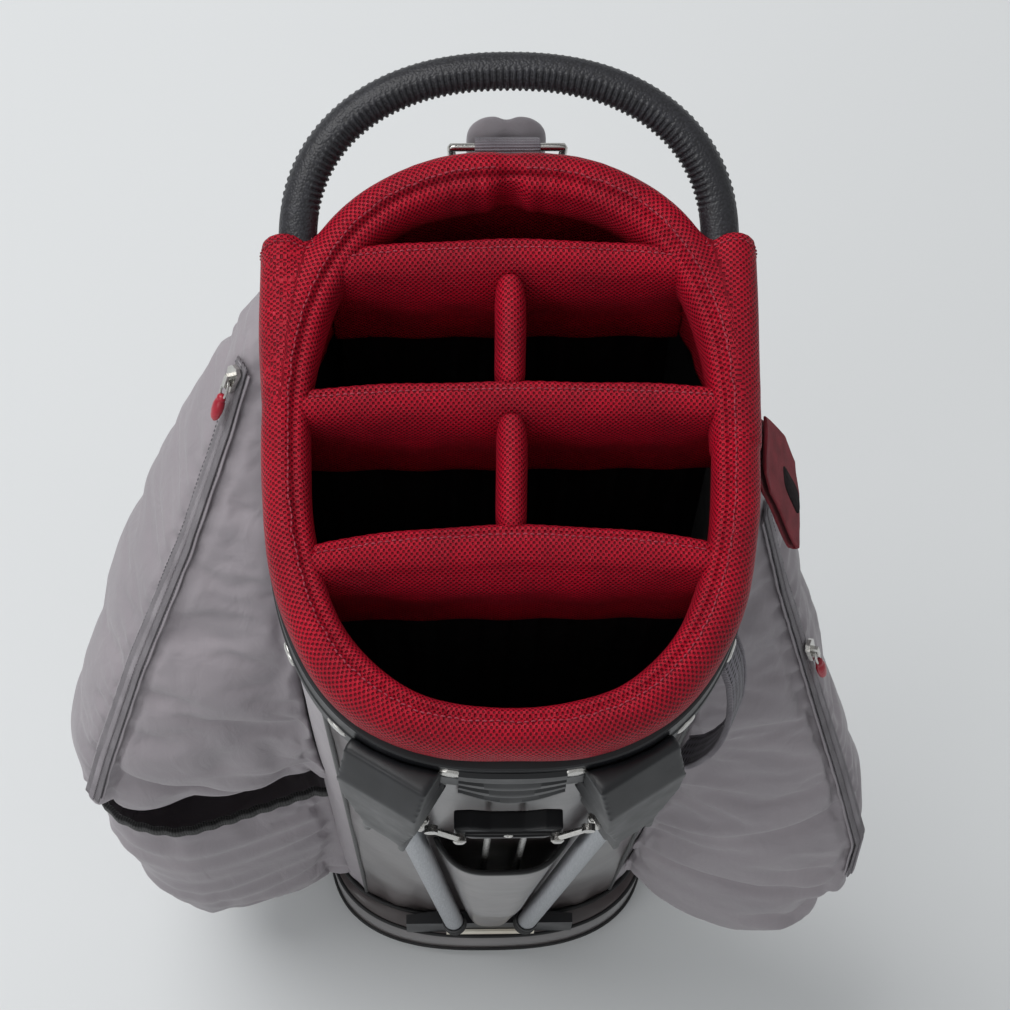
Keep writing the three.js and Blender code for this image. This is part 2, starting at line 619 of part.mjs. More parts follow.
const APPAREL = [
  [322, 84, -56, 232, -22], [334, 98, -66, 268, -28], [365, 106, -70, 279, -28], [450, 114, -66, 257, -18],
  [550, 120, -50, 225, -2], [650, 124, -14, 183, 12], [720, 128, 34, 154, 14], [756, 130, 66, 141, 10],
  [768, 120, 80, 132, 6],
];
const LOWER = [
  [52, 44, -54, 164, -32], [64, 62, -60, 200, -40], [95, 76, -62, 234, -42], [160, 88, -58, 256, -40],
  [230, 92, -54, 268, -34], [300, 92, -46, 268, -30],
];
const BALL = [
  [142, 20, -54, 170, -58], [160, 36, -62, 204, -70], [210, 56, -64, 232, -78], [285, 70, -68, 243, -70],
  [360, 80, -70, 243, -52], [450, 86, -66, 218, -34], [550, 92, -58, 188, -14], [650, 94, -42, 158, 2],
  [715, 92, -18, 140, 8], [732, 84, -6, 131, 6],
];
const sideRoom = bodyBlock(1.1);
const baseRoom = baseBlock([[-5, 1], [BASE_TOP + 2, 1]], BASE);

add('apparel_pocket', cut(pouch(-1, APPAREL), sideRoom), GREY_NYLON);
add('ball_pocket', cut(pouch(1, BALL), sideRoom), GREY_NYLON);
add('lower_pocket', cut(
  pouch(-1, LOWER),
  cut(pouch(-1, LOWER.slice(1), 3, 10), bodyBlock(4)),
  sideRoom,
  baseRoom,
), GREY_NYLON);

// ---------- zips ----------
/** A point of a pouch's outer face, its level direction along the face and the way out of it. */
function pouchFace(side, stations, height, angle) {
  const above = Math.max(1, stations.findIndex(([z]) => z >= height));
  const [a, b] = [stations[above - 1], stations[above]];
  const t = (height - a[0]) / (b[0] - a[0]);
  const [back, front, reach, slant] = [1, 2, 3, 4].map((k) => mix(a[k], b[k], t));
  const point = (turn) => {
    const c = Math.cos(turn) ** (2 / POUCH.power);
    const s = Math.sign(Math.sin(turn)) * Math.abs(Math.sin(turn)) ** (2 / POUCH.power);
    const x = POUCH.root + (reach - POUCH.root) * c;
    return vec(side * x, (back + front) / 2 + ((back - front) / 2) * s + slant * c, height);
  };
  const at = point(angle);
  const along = point(angle + 0.05).sub(point(angle - 0.05)).normalize();
  const out = vec(along.y, -along.x, 0).multiplyScalar(side);
  return { at, along, out };
}

function zipTape(side, stations, angle, first) {
  const levels = stations.slice(first, -1).map(([z]) => z);
  return loft(levels.map((z) => {
    const { at, along, out } = pouchFace(side, stations, z, angle);
    const corner = (a, b) => at.clone().addScaledVector(along, a).addScaledVector(out, b);
    return [corner(-6, 0.9), corner(6, 0.9), corner(6, 2.3), corner(-6, 2.3)];
  }));
}

/** The zip's own frame at a height: local X across the tape, local Z up along it, local -Y out. */
function zipMatrix(side, stations, height, angle, run) {
  const here = pouchFace(side, stations, height, angle);
  const below = pouchFace(side, stations, height - run, angle);
  const up = here.at.clone().sub(below.at).normalize();
  const across = here.along.clone().addScaledVector(up, -here.along.dot(up)).normalize();
  const inward = up.clone().cross(across);
  if (inward.dot(here.out) > 0) {
    across.negate();
    inward.negate();
  }
  return new THREE.Matrix4().makeBasis(across, inward, up).setPosition(here.at);
}

const ZIP_LIFT = 4.2; // the slider rides this far out of the pouch's face
function zipSlider(frame) {
  const outline = [[-3, -7], [3, -7], [4.5, 6], [2, 9], [-2, 9], [-4.5, 6]];
  const plate = prism(outline, -ZIP_LIFT - 2.6, -ZIP_LIFT, 'y');
  const bridge = box(-1.2, 1.2, -ZIP_LIFT - 6.2, -ZIP_LIFT - 2, -4, 4);
  const eye = box(-3, 3, -ZIP_LIFT - 5.4, -ZIP_LIFT - 2.7, -1.4, 1.4);
  return cut(join(plate, bridge), eye).applyMatrix4(frame);
}

function zipPull(frame) {
  const shank = box(-2.8, 2.8, -ZIP_LIFT - 4.7, -ZIP_LIFT - 3.4, -14, 1.1);
  const slot = box(-1.6, 1.6, -ZIP_LIFT - 9, -ZIP_LIFT, -8, -1);
  const axle = box(-2.8, 2.8, -ZIP_LIFT - 4.7, -ZIP_LIFT - 3.4, -1, 1);
  const bead = bar(vec(0, -ZIP_LIFT - 4.4, -28), vec(0, -ZIP_LIFT - 4.4, -13), 3.6, 14);
  return join(cut(shank, slot), axle, bead).applyMatrix4(frame);
}

const ZIPS = [
  { name: 'apparel_pocket', side: -1, stations: APPAREL, angle: -0.5, height: 744, run: 130, first: 2 },
  { name: 'ball_pocket', side: 1, stations: BALL, angle: -0.35, height: 585, run: 130, first: 3 },
];
ZIPS.forEach(({ name, side, stations, angle, height, run, first }) => {
  const frame = zipMatrix(side, stations, height, angle, run);
  add(`${name}_zip_tape`, zipTape(side, stations, angle, first), BLACK_FABRIC);
  add(`${name}_zip_slider`, zipSlider(frame), STEEL);
  add(`${name}_zip_pull`, zipPull(frame), RED_MESH);
});

// ---------- strap, ring and small soft parts ----------
const RING = { y: 154, z: 862, half: 28.5, drop: 24, radius: 2.1 };

function strapRing() {
  const curve = range(15).map((i) => {
    const angle = (Math.PI * (i + 0.5)) / 15;
    const c = Math.cos(angle);
    const drop = RING.drop * Math.sin(angle) ** 0.4;
    return vec(RING.half * Math.sign(c) * Math.abs(c) ** 0.4, RING.y, RING.z - drop);
  });
  const path = [vec(RING.half - 1.5, RING.y, RING.z), ...curve, vec(1.5 - RING.half, RING.y, RING.z)];
  return loft(path.map((point, i) => {
    const before = path[(i + path.length - 1) % path.length];
    const after = path[(i + 1) % path.length];
    const along = after.clone().sub(before).normalize();
    const across = vec(0, 1, 0).cross(along);
    return range(8).map((k) => {
      const angle = (2 * Math.PI * (k + 0.5)) / 8;
      return point.clone()
        .addScaledVector(across, RING.radius * Math.cos(angle))
        .addScaledVector(vec(0, 1, 0), RING.radius * Math.sin(angle));
    });
  }), true);
}

function ringTab() {
  const legOutline = [[142.7, 826], [145.6, 826], [145.6, 849], [153, 858], [151, 866], [142.7, 852]];
  const leg = prism(legOutline, -16.5, 16.5, 'x');
  const loop = bar(vec(-16.5, RING.y, RING.z), vec(16.5, RING.y, RING.z), 5.2, 18);
  const hole = bar(vec(-20, RING.y, RING.z), vec(20, RING.y, RING.z), 2.9, 18);
  return cut(join(leg, loop), hole, bodyBlock(0.6), rollBlock(0.6));
}

function shoulderStrap() {
  const path = [[168, 860, 0.7], [168.5, 855, 0.94], [169, 842, 1], [165, 800, 1], [153, 700, 1],
    [138, 550, 1], [121, 400, 1], [111, 320, 0.94], [110, 312, 0.7]];
  const pad = loft(path.map(([y, z, fullness]) => (
    roundSection(42 * fullness, 20 * fullness, 2.8, 16).map(([x, out]) => vec(x, y + out, z)))));
  const low = RING.z - RING.drop;
  const loop = bar(vec(-14, RING.y, low), vec(14, RING.y, low), 7.4, 18);
  const hole = bar(vec(-20, RING.y, low), vec(20, RING.y, low), 5.1, 18);
  return cut(join(pad, cut(loop, box(-30, 30, RING.y + 6, 300, 0, 900))), hole, bodyBlock(0.8));
}

/** A grab handle of padded mesh on the right front corner, arched off the body for the fingers. */
function sideHandle() {
  return loft(range(11).map((i) => {
    const t = i / 10;
    const lift = 0.9 + 15 * Math.sin(Math.PI * t) ** 0.7;
    const angle = THREE.MathUtils.degToRad(mix(-25, -37, t));
    const at = bodyPoint(angle, mix(0.975, 0.76, t), lift);
    const along = bodyPoint(angle + 0.05, 0.8).sub(bodyPoint(angle - 0.05, 0.8)).setZ(0).normalize();
    const out = vec(along.y, -along.x, 0);
    const corner = (a, b) => at.clone().addScaledVector(along, a).addScaledVector(out, b);
    return [corner(-11, 0), corner(11, 0), corner(11, 5), corner(-11, 5)];
  }));
}

/** A felt loop that hangs from the collar's right side, for a glove or a towel. */
function towelTab() {
  const levels = [
    [812, 124.2, -4, 28],
    [800, 127, -10, 32],
    [775, 138, -19, 33],
    [752, 147, -24, 28],
    [744, 149, -18, 20],
  ];
  return loft(levels.map(([z, x, front, back]) => [
    vec(x, front, z), vec(x + 5, front, z), vec(x + 5, back, z), vec(x, back, z)]));
}

add('strap_ring_tab', ringTab(), BLACK_FABRIC);
add('strap_ring', strapRing(), STEEL);
add('shoulder_strap', shoulderStrap(), GREY_NYLON);
add('side_handle', sideHandle(), GREY_NYLON);
add('towel_tab', towelTab(), RED_MESH);

export default group;
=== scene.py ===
"""Stand golf bag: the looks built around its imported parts."""
import json
import math
from math import pi, radians, tau

import bmesh
import bpy
import numpy as np
from bpy.props import FloatProperty, FloatVectorProperty, PointerProperty
from mathutils import Matrix, Vector
from mathutils.bvhtree import BVHTree


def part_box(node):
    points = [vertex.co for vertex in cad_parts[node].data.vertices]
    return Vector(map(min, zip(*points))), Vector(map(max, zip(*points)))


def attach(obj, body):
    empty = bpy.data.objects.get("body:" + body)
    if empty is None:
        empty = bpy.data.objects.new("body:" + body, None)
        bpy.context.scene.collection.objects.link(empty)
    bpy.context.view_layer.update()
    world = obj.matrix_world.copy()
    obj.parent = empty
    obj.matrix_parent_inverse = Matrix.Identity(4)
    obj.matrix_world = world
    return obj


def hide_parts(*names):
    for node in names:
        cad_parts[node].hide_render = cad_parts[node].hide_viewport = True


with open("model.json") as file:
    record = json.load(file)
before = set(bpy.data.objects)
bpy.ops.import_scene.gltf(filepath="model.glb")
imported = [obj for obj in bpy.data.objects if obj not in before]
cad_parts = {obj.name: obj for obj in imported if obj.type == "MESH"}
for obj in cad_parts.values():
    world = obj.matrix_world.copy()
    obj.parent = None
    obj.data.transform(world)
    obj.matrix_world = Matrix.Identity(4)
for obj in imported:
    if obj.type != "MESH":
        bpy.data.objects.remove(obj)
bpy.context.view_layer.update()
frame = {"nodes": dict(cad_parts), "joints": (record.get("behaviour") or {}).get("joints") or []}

bl_info = {
    "name": "Stand golf bag",
    "version": (1, 0, 0),
    "blender": (4, 5, 0),
    "location": "3D View > Sidebar > Golf bag",
    "description": "Builds the padded rim, body, pockets, handle, legs and fittings of a stand golf bag",
    "category": "Add Mesh",
}

MM = 0.001
BOX = {name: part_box(name) for name in frame["nodes"]}
BAG = "bag"


# ---------- sizes worked out from the frame ----------
SLOPE = radians(14.5)  # the rim rises towards the back
LIP = 12 * MM  # the collar's skirt stands this far outside the middle of the roll
SKIRT = 58 * MM  # and reaches this far below the rim's plane
COLLAR_LOW, COLLAR_HIGH = BOX["collar_frame"]
RIM = (
    COLLAR_HIGH.x - LIP,
    -COLLAR_LOW.y / math.cos(SLOPE) - LIP,
    COLLAR_HIGH.y / math.cos(SLOPE) - LIP,
)  # half width, front and back of the roll's middle line
RIM_HEIGHT = COLLAR_LOW.z + SKIRT + (RIM[1] + LIP) * math.sin(SLOPE)
BASE_LOW, BASE_HIGH = BOX["base_cup"]
BASE = (BASE_HIGH.x, -BASE_LOW.y, BASE_HIGH.y)
FOOT = (BASE[0] - 6 * MM, BASE[1] - 16.5 * MM, BASE[2] - 10.5 * MM)  # lower end of the fabric body
PANEL_LOW = BASE_HIGH.z + 0.35 * MM
PANEL_GROW = 8.2 * MM  # the panels stand outside the middle of the roll
PANEL_WALL = 3 * MM
FRONT_POWER, BACK_POWER = 2.6, 2.4  # how square the front and back of every oval are
FRONT_CORNER, BACK_CORNER = radians(41.6), radians(48)
BACK_HEIGHT = 0.747  # height of the body's back, from the base to the collar
SLIDE_HEIGHT = 0.2  # the strap's ladder slide
TOE_HINGE = -46 * MM  # the tilting sole begins here, and the underside rises in front of it
TOE_SLOPE = 0.237
SEAM_OUT = -5 * MM  # the top seam runs this far inside the middle of the roll


# ---------- colour and shader helpers ----------
def linear(code):
    """A colour written as an sRGB hex value, in the linear form that shaders use."""
    parts = [int(code[i:i + 2], 16) / 255 for i in (1, 3, 5)]
    return (*[c / 12.92 if c < 0.04045 else ((c + 0.055) / 1.055) ** 2.4 for c in parts], 1.0)


def add(tree, kind, inputs=(), **settings):
    """Adds a shader node with its settings, and joins or sets its inputs; returns its outputs."""
    made = tree.nodes.new("ShaderNode" + kind)
    for key, value in settings.items():
        setattr(made, key, value)
    pairs = inputs.items() if isinstance(inputs, dict) else enumerate(inputs)
    for key, value in pairs:
        if isinstance(value, bpy.types.NodeSocket):
            tree.links.new(value, made.inputs[key])
        else:
            made.inputs[key].default_value = value
    return made.outputs


def finish(name, roughness, metallic=0.0, **sockets):
    """A new material, its node tree and its shader, with the numbers that are the same all over."""
    made = bpy.data.materials.new(name)
    made.use_nodes = True
    shader = made.node_tree.nodes["Principled BSDF"]
    shader.inputs["Roughness"].default_value = roughness
    shader.inputs["Metallic"].default_value = metallic
    for key, value in sockets.items():
        shader.inputs[key.replace("_", " ")].default_value = value
    return made, made.node_tree, shader


def scaled(tree, coordinates, sizes):
    """Coordinates divided by the real sizes of one repeat of a pattern, in metres."""
    return add(tree, "Mapping", {"Vector": coordinates, "Scale": [1 / s for s in sizes]})[0]


def dress(tree, shader, colour, height=None, depth=0.1 * MM, strength=1.0, roughness=None):
    """Joins a pattern's colour, height and roughness to the shader."""
    tree.links.new(colour, shader.inputs["Base Color"])
    if height is not None:
        bump = add(tree, "Bump", {"Strength": strength, "Distance": depth, "Height": height})[0]
        tree.links.new(bump, shader.inputs["Normal"])
    if roughness is not None:
        tree.links.new(roughness, shader.inputs["Roughness"])


def blotch(tree, light, dark, size, low=0.35, high=0.65, detail=3.0):
    """Two colours in soft patches of a real size."""
    place = add(tree, "TexCoord")["Object"]
    noise = add(tree, "TexNoise", {"Vector": place, "Scale": 1 / size, "Detail": detail})[0]
    share = add(tree, "MapRange", [noise, low, high, 0.0, 1.0])[0]
    return add(tree, "Mix", {0: share, 6: light, 7: dark}, data_type="RGBA")[2]


def air_mesh(colour):
    """Polyester air mesh, warp-knitted over foam: staggered dimples with painted shade inside them, and
    painted glints on the filaments.
    """
    made, tree, shader = finish(
        "crimson_air_mesh", 0.5, IOR=1.5, Sheen_Weight=0.04, Sheen_Roughness=0.5, Specular_IOR_Level=0.18)
    shader.inputs["Sheen Tint"].default_value = linear("#c8203c")
    flat = add(tree, "TexCoord")["UV"]
    wander = add(tree, "TexNoise", {"Vector": flat, "Scale": 1 / (9 * MM), "Detail": 2.0})["Color"]
    drift = add(tree, "VectorMath", [wander, (0.5, 0.5, 0.5)], operation="SUBTRACT")[0]
    moved = add(tree, "VectorMath", {0: drift, 3: 1.1 * MM}, operation="SCALE")[0]
    place = add(tree, "VectorMath", [flat, moved], operation="ADD")[0]
    # a dimple every 2.7 mm along a row, rows 1.6 mm apart and staggered
    x, y, _ = add(tree, "SeparateXYZ", [scaled(tree, place, (1.35 * MM / pi, 1.6 * MM / pi, 1))])
    across = add(tree, "Math", [x], operation="COSINE")[0]
    along = add(tree, "Math", [y], operation="COSINE")[0]
    lattice = add(tree, "Math", [across, along], operation="MULTIPLY")[0]
    hole = add(tree, "MapRange", [lattice, -0.05, 0.8, 0.0, 1.0], interpolation_type="SMOOTHSTEP")[0]
    strand = add(tree, "TexNoise", {"Vector": scaled(tree, place, (0.5 * MM, 1.3 * MM, 1)), "Scale": 1.0})[0]
    worn = blotch(tree, colour, linear("#a80f27"), 26 * MM)
    shaded = add(tree, "Mix", {0: strand, 6: worn, 7: linear("#850a1e")}, data_type="RGBA")[2]
    # painted shade: the dimples are darkened towards #30020a, as shade falls in them
    deep = add(tree, "Math", [hole, 0.75], operation="MULTIPLY")[0]
    shade_painted_in_dimples = add(tree, "Mix", {0: deep, 6: shaded, 7: linear("#30020a")}, data_type="RGBA")[2]
    # painted glints: small random spots are lightened towards #e0566c and stand in for highlights on the
    # filaments
    glint_noise = add(tree, "TexNoise", {"Vector": scaled(tree, flat, (0.75 * MM, 0.75 * MM, 1)), "Scale": 1.0,
                                   "Detail": 1.0})[0]
    glint = add(tree, "MapRange", [glint_noise, 0.66, 0.76, 0.0, 0.7])[0]
    seen = add(tree, "Mix", {0: glint, 6: shade_painted_in_dimples, 7: linear("#e0566c")}, data_type="RGBA")[2]
    inverse = add(tree, "Math", [1.0, hole], operation="SUBTRACT")[0]
    height = add(tree, "Math", [strand, 0.35, inverse], operation="MULTIPLY_ADD")[0]
    dress(tree, shader, seen, height, 1.2 * MM)
    return made


def nylon(name, light, dark, gloss=0.62, crinkle=0.5, sheen=0.18):
    """Dyed nylon plain weave: fine crossing threads, soft creases and a slight silky sheen."""
    made, tree, shader = finish(name, gloss, IOR=1.53, Sheen_Weight=sheen, Sheen_Roughness=0.35,
                                Specular_IOR_Level=2 * sheen)
    flat = add(tree, "TexCoord")["UV"]
    place = add(tree, "TexCoord")["Object"]
    # threads are 0.3 mm apart and drawn at 1.1 mm, so that they show
    x, y, _ = add(tree, "SeparateXYZ", [scaled(tree, flat, (1.1 * MM / tau, 1.1 * MM / tau, 1))])
    warp = add(tree, "Math", [x], operation="SINE")[0]
    weft = add(tree, "Math", [y], operation="SINE")[0]
    cross = add(tree, "Math", [warp, weft], operation="MULTIPLY")[0]
    slub = add(tree, "TexNoise", {"Vector": scaled(tree, flat, (1.5 * MM, 22 * MM, 1)), "Scale": 1.0})[0]
    tone = blotch(tree, light, dark, 45 * MM, 0.3, 0.7)
    share = add(tree, "MapRange", [slub, 0.35, 0.75, 0.0, 0.45])[0]
    streaked = add(tree, "Mix", {0: share, 6: tone, 7: dark}, data_type="RGBA")[2]
    crease = add(tree, "TexNoise", {"Vector": scaled(tree, place, (16 * MM, 16 * MM, 30 * MM)), "Scale": 1.0,
                                    "Detail": 4.0, "Distortion": 0.8})[0]
    fine = add(tree, "Bump", {"Strength": 0.35, "Distance": 0.06 * MM, "Height": cross})[0]
    both = add(tree, "Bump", {"Strength": crinkle, "Distance": 2.2 * MM, "Height": crease, "Normal": fine})[0]
    tree.links.new(both, shader.inputs["Normal"])
    dress(tree, shader, streaked)
    return made


def coated_nylon():
    """Polyurethane-coated nylon: a wet-looking film over the weave, slack enough to bend reflections."""
    made, tree, shader = finish("coated_nylon", 0.28, IOR=1.5, Coat_Weight=0.45, Coat_Roughness=0.12,
                                Specular_IOR_Level=0.5)
    place = add(tree, "TexCoord")["Object"]
    flat = add(tree, "TexCoord")["UV"]
    tone = blotch(tree, linear("#5d5555"), linear("#474040"), 60 * MM)
    slack = add(tree, "TexNoise", {"Vector": scaled(tree, place, (34 * MM, 34 * MM, 55 * MM)), "Scale": 1.0,
                                   "Detail": 2.0})[0]
    thread = add(tree, "TexNoise", {"Vector": scaled(tree, flat, (1.2 * MM, 9 * MM, 1)), "Scale": 1.0})[0]
    fine = add(tree, "Bump", {"Strength": 0.25, "Distance": 0.1 * MM, "Height": thread})[0]
    both = add(tree, "Bump", {"Strength": 0.28, "Distance": 4 * MM, "Height": slack, "Normal": fine})[0]
    tree.links.new(both, shader.inputs["Normal"])
    dress(tree, shader, tone)
    return made


def moulded(name, light, dark, roughness, grain, depth, **sockets):
    """Spark-eroded mould finish on a hard or soft plastic: an even fine grain, a little cloudy."""
    made, tree, shader = finish(name, roughness, **sockets)
    place = add(tree, "TexCoord")["Object"]
    tone = blotch(tree, light, dark, 30 * MM)
    pits = add(tree, "TexNoise", {"Vector": place, "Scale": 1 / grain, "Detail": 2.0})[0]
    rubbed = add(tree, "TexNoise", {"Vector": place, "Scale": 1 / (20 * MM), "Detail": 3.0})[0]
    gloss = add(tree, "MapRange", [rubbed, 0.3, 0.7, roughness - 0.07, roughness + 0.07])[0]
    dress(tree, shader, tone, pits, depth, 0.6, gloss)
    return made


def grip_leather_grain():
    """Soft-touch thermoplastic rubber moulded with a leather grain: small pebbles, with painted shade
    darkening the valleys between them.
    """
    made, tree, shader = finish("grip_rubber", 0.45, IOR=1.5, Specular_IOR_Level=0.4)
    flat = add(tree, "TexCoord")["UV"]
    cell = add(tree, "TexVoronoi", {"Vector": scaled(tree, flat, (1.1 * MM, 1.1 * MM, 1)), "Scale": 1.0},
               feature="SMOOTH_F1")[0]
    pebble = add(tree, "MapRange", [cell, 0.2, 0.75, 1.0, 0.0], interpolation_type="SMOOTHSTEP")[0]
    tone = blotch(tree, linear("#2c2c31"), linear("#26262a"), 40 * MM)
    # painted shade: the valleys between the pebbles are darkened towards #1e1e21
    seen = add(tree, "Mix", {0: pebble, 6: linear("#1e1e21"), 7: tone}, data_type="RGBA")[2]
    dress(tree, shader, seen, pebble, 0.16 * MM)
    return made


def metal(name, light, dark, roughness, streak):
    """Plated or anodised metal: fine marks left by polishing, drawn out along the streak."""
    made, tree, shader = finish(name, roughness, 1.0)
    place = add(tree, "TexCoord")["Object"]
    marks = add(tree, "TexNoise", {"Vector": scaled(tree, place, streak), "Scale": 1.0, "Detail": 3.0})[0]
    tone = add(tree, "Mix", {0: marks, 6: light, 7: dark}, data_type="RGBA")[2]
    gloss = add(tree, "MapRange", [marks, 0.3, 0.7, roughness - 0.06, roughness + 0.08])[0]
    dress(tree, shader, tone, marks, 0.02 * MM, 0.5, gloss)
    return made


def ribbed(name, light, dark, rib, roughness=0.75, across=False):
    """Woven webbing, elastic or tape: ribs at a real spacing, with painted shade darkening the grooves
    between them.
    """
    made, tree, shader = finish(name, roughness, IOR=1.5, Sheen_Weight=0.15, Specular_IOR_Level=0.3)
    flat = add(tree, "TexCoord")["UV"]
    x, y, _ = add(tree, "SeparateXYZ", [scaled(tree, flat, (rib / tau, rib / tau, 1))])
    main, other = (y, x) if across else (x, y)
    rib_wave = add(tree, "Math", [main], operation="SINE")[0]
    doubled = add(tree, "Math", [other, 2.0], operation="MULTIPLY")[0]
    thread = add(tree, "Math", [doubled], operation="SINE")[0]
    height = add(tree, "Math", [thread, 0.35, rib_wave], operation="MULTIPLY_ADD")[0]
    # painted shade: the lower the weave, the darker it is coloured, as shade falls in the grooves
    share = add(tree, "MapRange", [height, -0.9, 0.5, 1.0, 0.0])[0]
    tone = blotch(tree, light, dark, 20 * MM)
    seen = add(tree, "Mix", {0: share, 6: tone, 7: dark}, data_type="RGBA")[2]
    dress(tree, shader, seen, height, 0.25 * MM)
    return made


def felt():
    """Milled wool felt: matted fibres in every direction, dull and slightly mottled."""
    made, tree, shader = finish("red_felt", 0.95, IOR=1.45, Sheen_Weight=0.1, Sheen_Roughness=0.6,
                                Specular_IOR_Level=0.15)
    place = add(tree, "TexCoord")["Object"]
    fibre = add(tree, "TexNoise", {"Vector": place, "Scale": 1 / (1.1 * MM), "Detail": 5.0,
                                   "Distortion": 2.5})[0]
    tone = blotch(tree, linear("#a83440"), linear("#85222d"), 9 * MM)
    seen = add(tree, "Mix", {0: fibre, 6: tone, 7: linear("#5a1620")}, data_type="RGBA")[2]
    dress(tree, shader, seen, fibre, 0.5 * MM)
    return made


def spacer_mesh():
    """Grey polyester spacer mesh: rows of open slots in a thick knit, with painted shade in the slots."""
    made, tree, shader = finish("grey_spacer_mesh", 0.8, IOR=1.5, Sheen_Weight=0.2, Specular_IOR_Level=0.3)
    flat = add(tree, "TexCoord")["UV"]
    # slots 5 mm apart along a row, rows 3.2 mm apart and staggered
    x, y, _ = add(tree, "SeparateXYZ", [scaled(tree, flat, (3.2 * MM / tau, 5 * MM / tau, 1))])
    row = add(tree, "Math", [x], operation="COSINE")[0]
    slot = add(tree, "Math", [y], operation="COSINE")[0]
    both = add(tree, "Math", [slot, 0.6, row], operation="MULTIPLY_ADD")[0]
    hole = add(tree, "MapRange", [both, 0.35, 0.95, 0.0, 1.0], interpolation_type="SMOOTHSTEP")[0]
    tone = blotch(tree, linear("#75717a"), linear("#5f5b63"), 20 * MM)
    # painted shade: the slots are darkened towards #1b1a1d, as shade falls in them
    seen = add(tree, "Mix", {0: hole, 6: tone, 7: linear("#1b1a1d")}, data_type="RGBA")[2]
    inverse = add(tree, "Math", [1.0, hole], operation="SUBTRACT")[0]
    dress(tree, shader, seen, inverse, 1.2 * MM)
    return made


def make_finishes(colours):
    """Every finish of the bag, by the name that the pieces use."""
    return {
        "air_mesh": air_mesh(colours.mesh),
        "nylon": nylon("grey_nylon", colours.nylon, linear("#908a8f"), 0.6, 0.6),
        "coated": coated_nylon(),
        "lining": nylon("black_lining", linear("#161619"), linear("#0b0b0d"), 0.8, 0.35, 0.04),
        "plastic": moulded("black_glass_filled_nylon", linear("#15161a"), linear("#0f1013"), 0.4, 0.55 * MM,
                           0.03 * MM, IOR=1.52),
        "rubber": moulded("black_moulded_rubber", linear("#18181a"), linear("#101012"), 0.75, 0.8 * MM,
                          0.06 * MM, IOR=1.52),
        "grip": grip_leather_grain(),
        "aluminium": metal("satin_anodised_aluminium", linear("#b2b5ba"), linear("#989ba0"), 0.34,
                           (0.6 * MM, 0.6 * MM, 30 * MM)),
        "nickel": metal("nickel_plated_steel", linear("#dcdad6"), linear("#b4b2ae"), 0.22,
                        (1.5 * MM, 1.5 * MM, 1.5 * MM)),
        "ivory": moulded("ivory_abs", linear("#e8e2d4"), linear("#d8cfbd"), 0.4, 0.9 * MM, 0.02 * MM,
                         IOR=1.54),
        "webbing": ribbed("grey_webbing", linear("#a09ba2"), linear("#7a757c"), 1.6 * MM),
        "elastic": ribbed("black_elastic", linear("#18181a"), linear("#0a0a0b"), 1.8 * MM),
        "zip_tape": ribbed("grey_zip_tape", linear("#938e93"), linear("#787378"), 1.2 * MM, 0.8),
        "zip_teeth": moulded("grey_nylon_coil", linear("#8f8a8f"), linear("#716c71"), 0.35, 0.5 * MM,
                             0.01 * MM, IOR=1.53),
        "felt": felt(),
        "spacer": spacer_mesh(),
        "red_thread": ribbed("red_bonded_thread", linear("#f0566e"), linear("#c02a44"), 0.5 * MM, 0.4),
        "grey_thread": ribbed("grey_bonded_thread", linear("#8d8a92"), linear("#5e5b63"), 0.5 * MM, 0.5),
        "red_pull": moulded("red_moulded_pull", linear("#b01a30"), linear("#8c1024"), 0.3, 0.7 * MM,
                            0.02 * MM, IOR=1.5),
        "piping": nylon("black_bound_piping", linear("#1a1a1c"), linear("#0e0e10"), 0.5, 0.2),
        "dark_print": felt_print(),
    }


def felt_print():
    """Flock print on the felt: a dense dark pile with no shine."""
    made, tree, shader = finish("dark_flock_print", 0.97, Specular_IOR_Level=0.1)
    tone = blotch(tree, linear("#2c2426"), linear("#1c1618"), 2 * MM)
    dress(tree, shader, tone)
    return made


# ---------- mesh helpers ----------
def unit(v):
    """Rows of vectors, each of length one."""
    return v / np.maximum(np.linalg.norm(v, axis=-1, keepdims=True), 1e-12)


def xyz(x, y, z):
    """Points from their coordinates, each a number or an array."""
    return np.stack(np.broadcast_arrays(x, y, z), -1)


def lengths(path, closed=False):
    """Distance along a path up to each point, with the closing step last where it is closed."""
    steps = np.linalg.norm(np.diff(path, axis=0, append=path[:1]), axis=1)
    total = np.concatenate([[0], np.cumsum(steps)])
    return total if closed else total[:-1]


def new_piece(name, verts, faces, uv_of_corners=None, flat_angle=None):
    """A mesh object in the scene, with outward faces, smooth shading and a map in real metres."""
    mesh = bpy.data.meshes.new(name)
    mesh.from_pydata(np.asarray(verts, float).tolist(), [], [list(f) for f in faces])
    layer = mesh.uv_layers.new(name="UVMap")
    if uv_of_corners is not None:
        layer.data.foreach_set("uv", np.asarray(uv_of_corners, np.float32).ravel())
    work = bmesh.new()
    work.from_mesh(mesh)
    bmesh.ops.remove_doubles(work, verts=work.verts, dist=1e-6)
    bmesh.ops.recalc_face_normals(work, faces=work.faces)
    work.to_mesh(mesh)
    work.free()
    piece = bpy.data.objects.new(name, mesh)
    bpy.context.scene.collection.objects.link(piece)
    shade(piece, flat_angle)
    if uv_of_corners is None:
        box_map(piece)
    return piece


def shade(piece, flat_angle=None):
    """Smooth shading, with edges sharper than the angle kept crisp."""
    mesh = piece.data
    mesh.polygons.foreach_set("use_smooth", [True] * len(mesh.polygons))
    if flat_angle:
        mesh.set_sharp_from_angle(angle=radians(flat_angle))


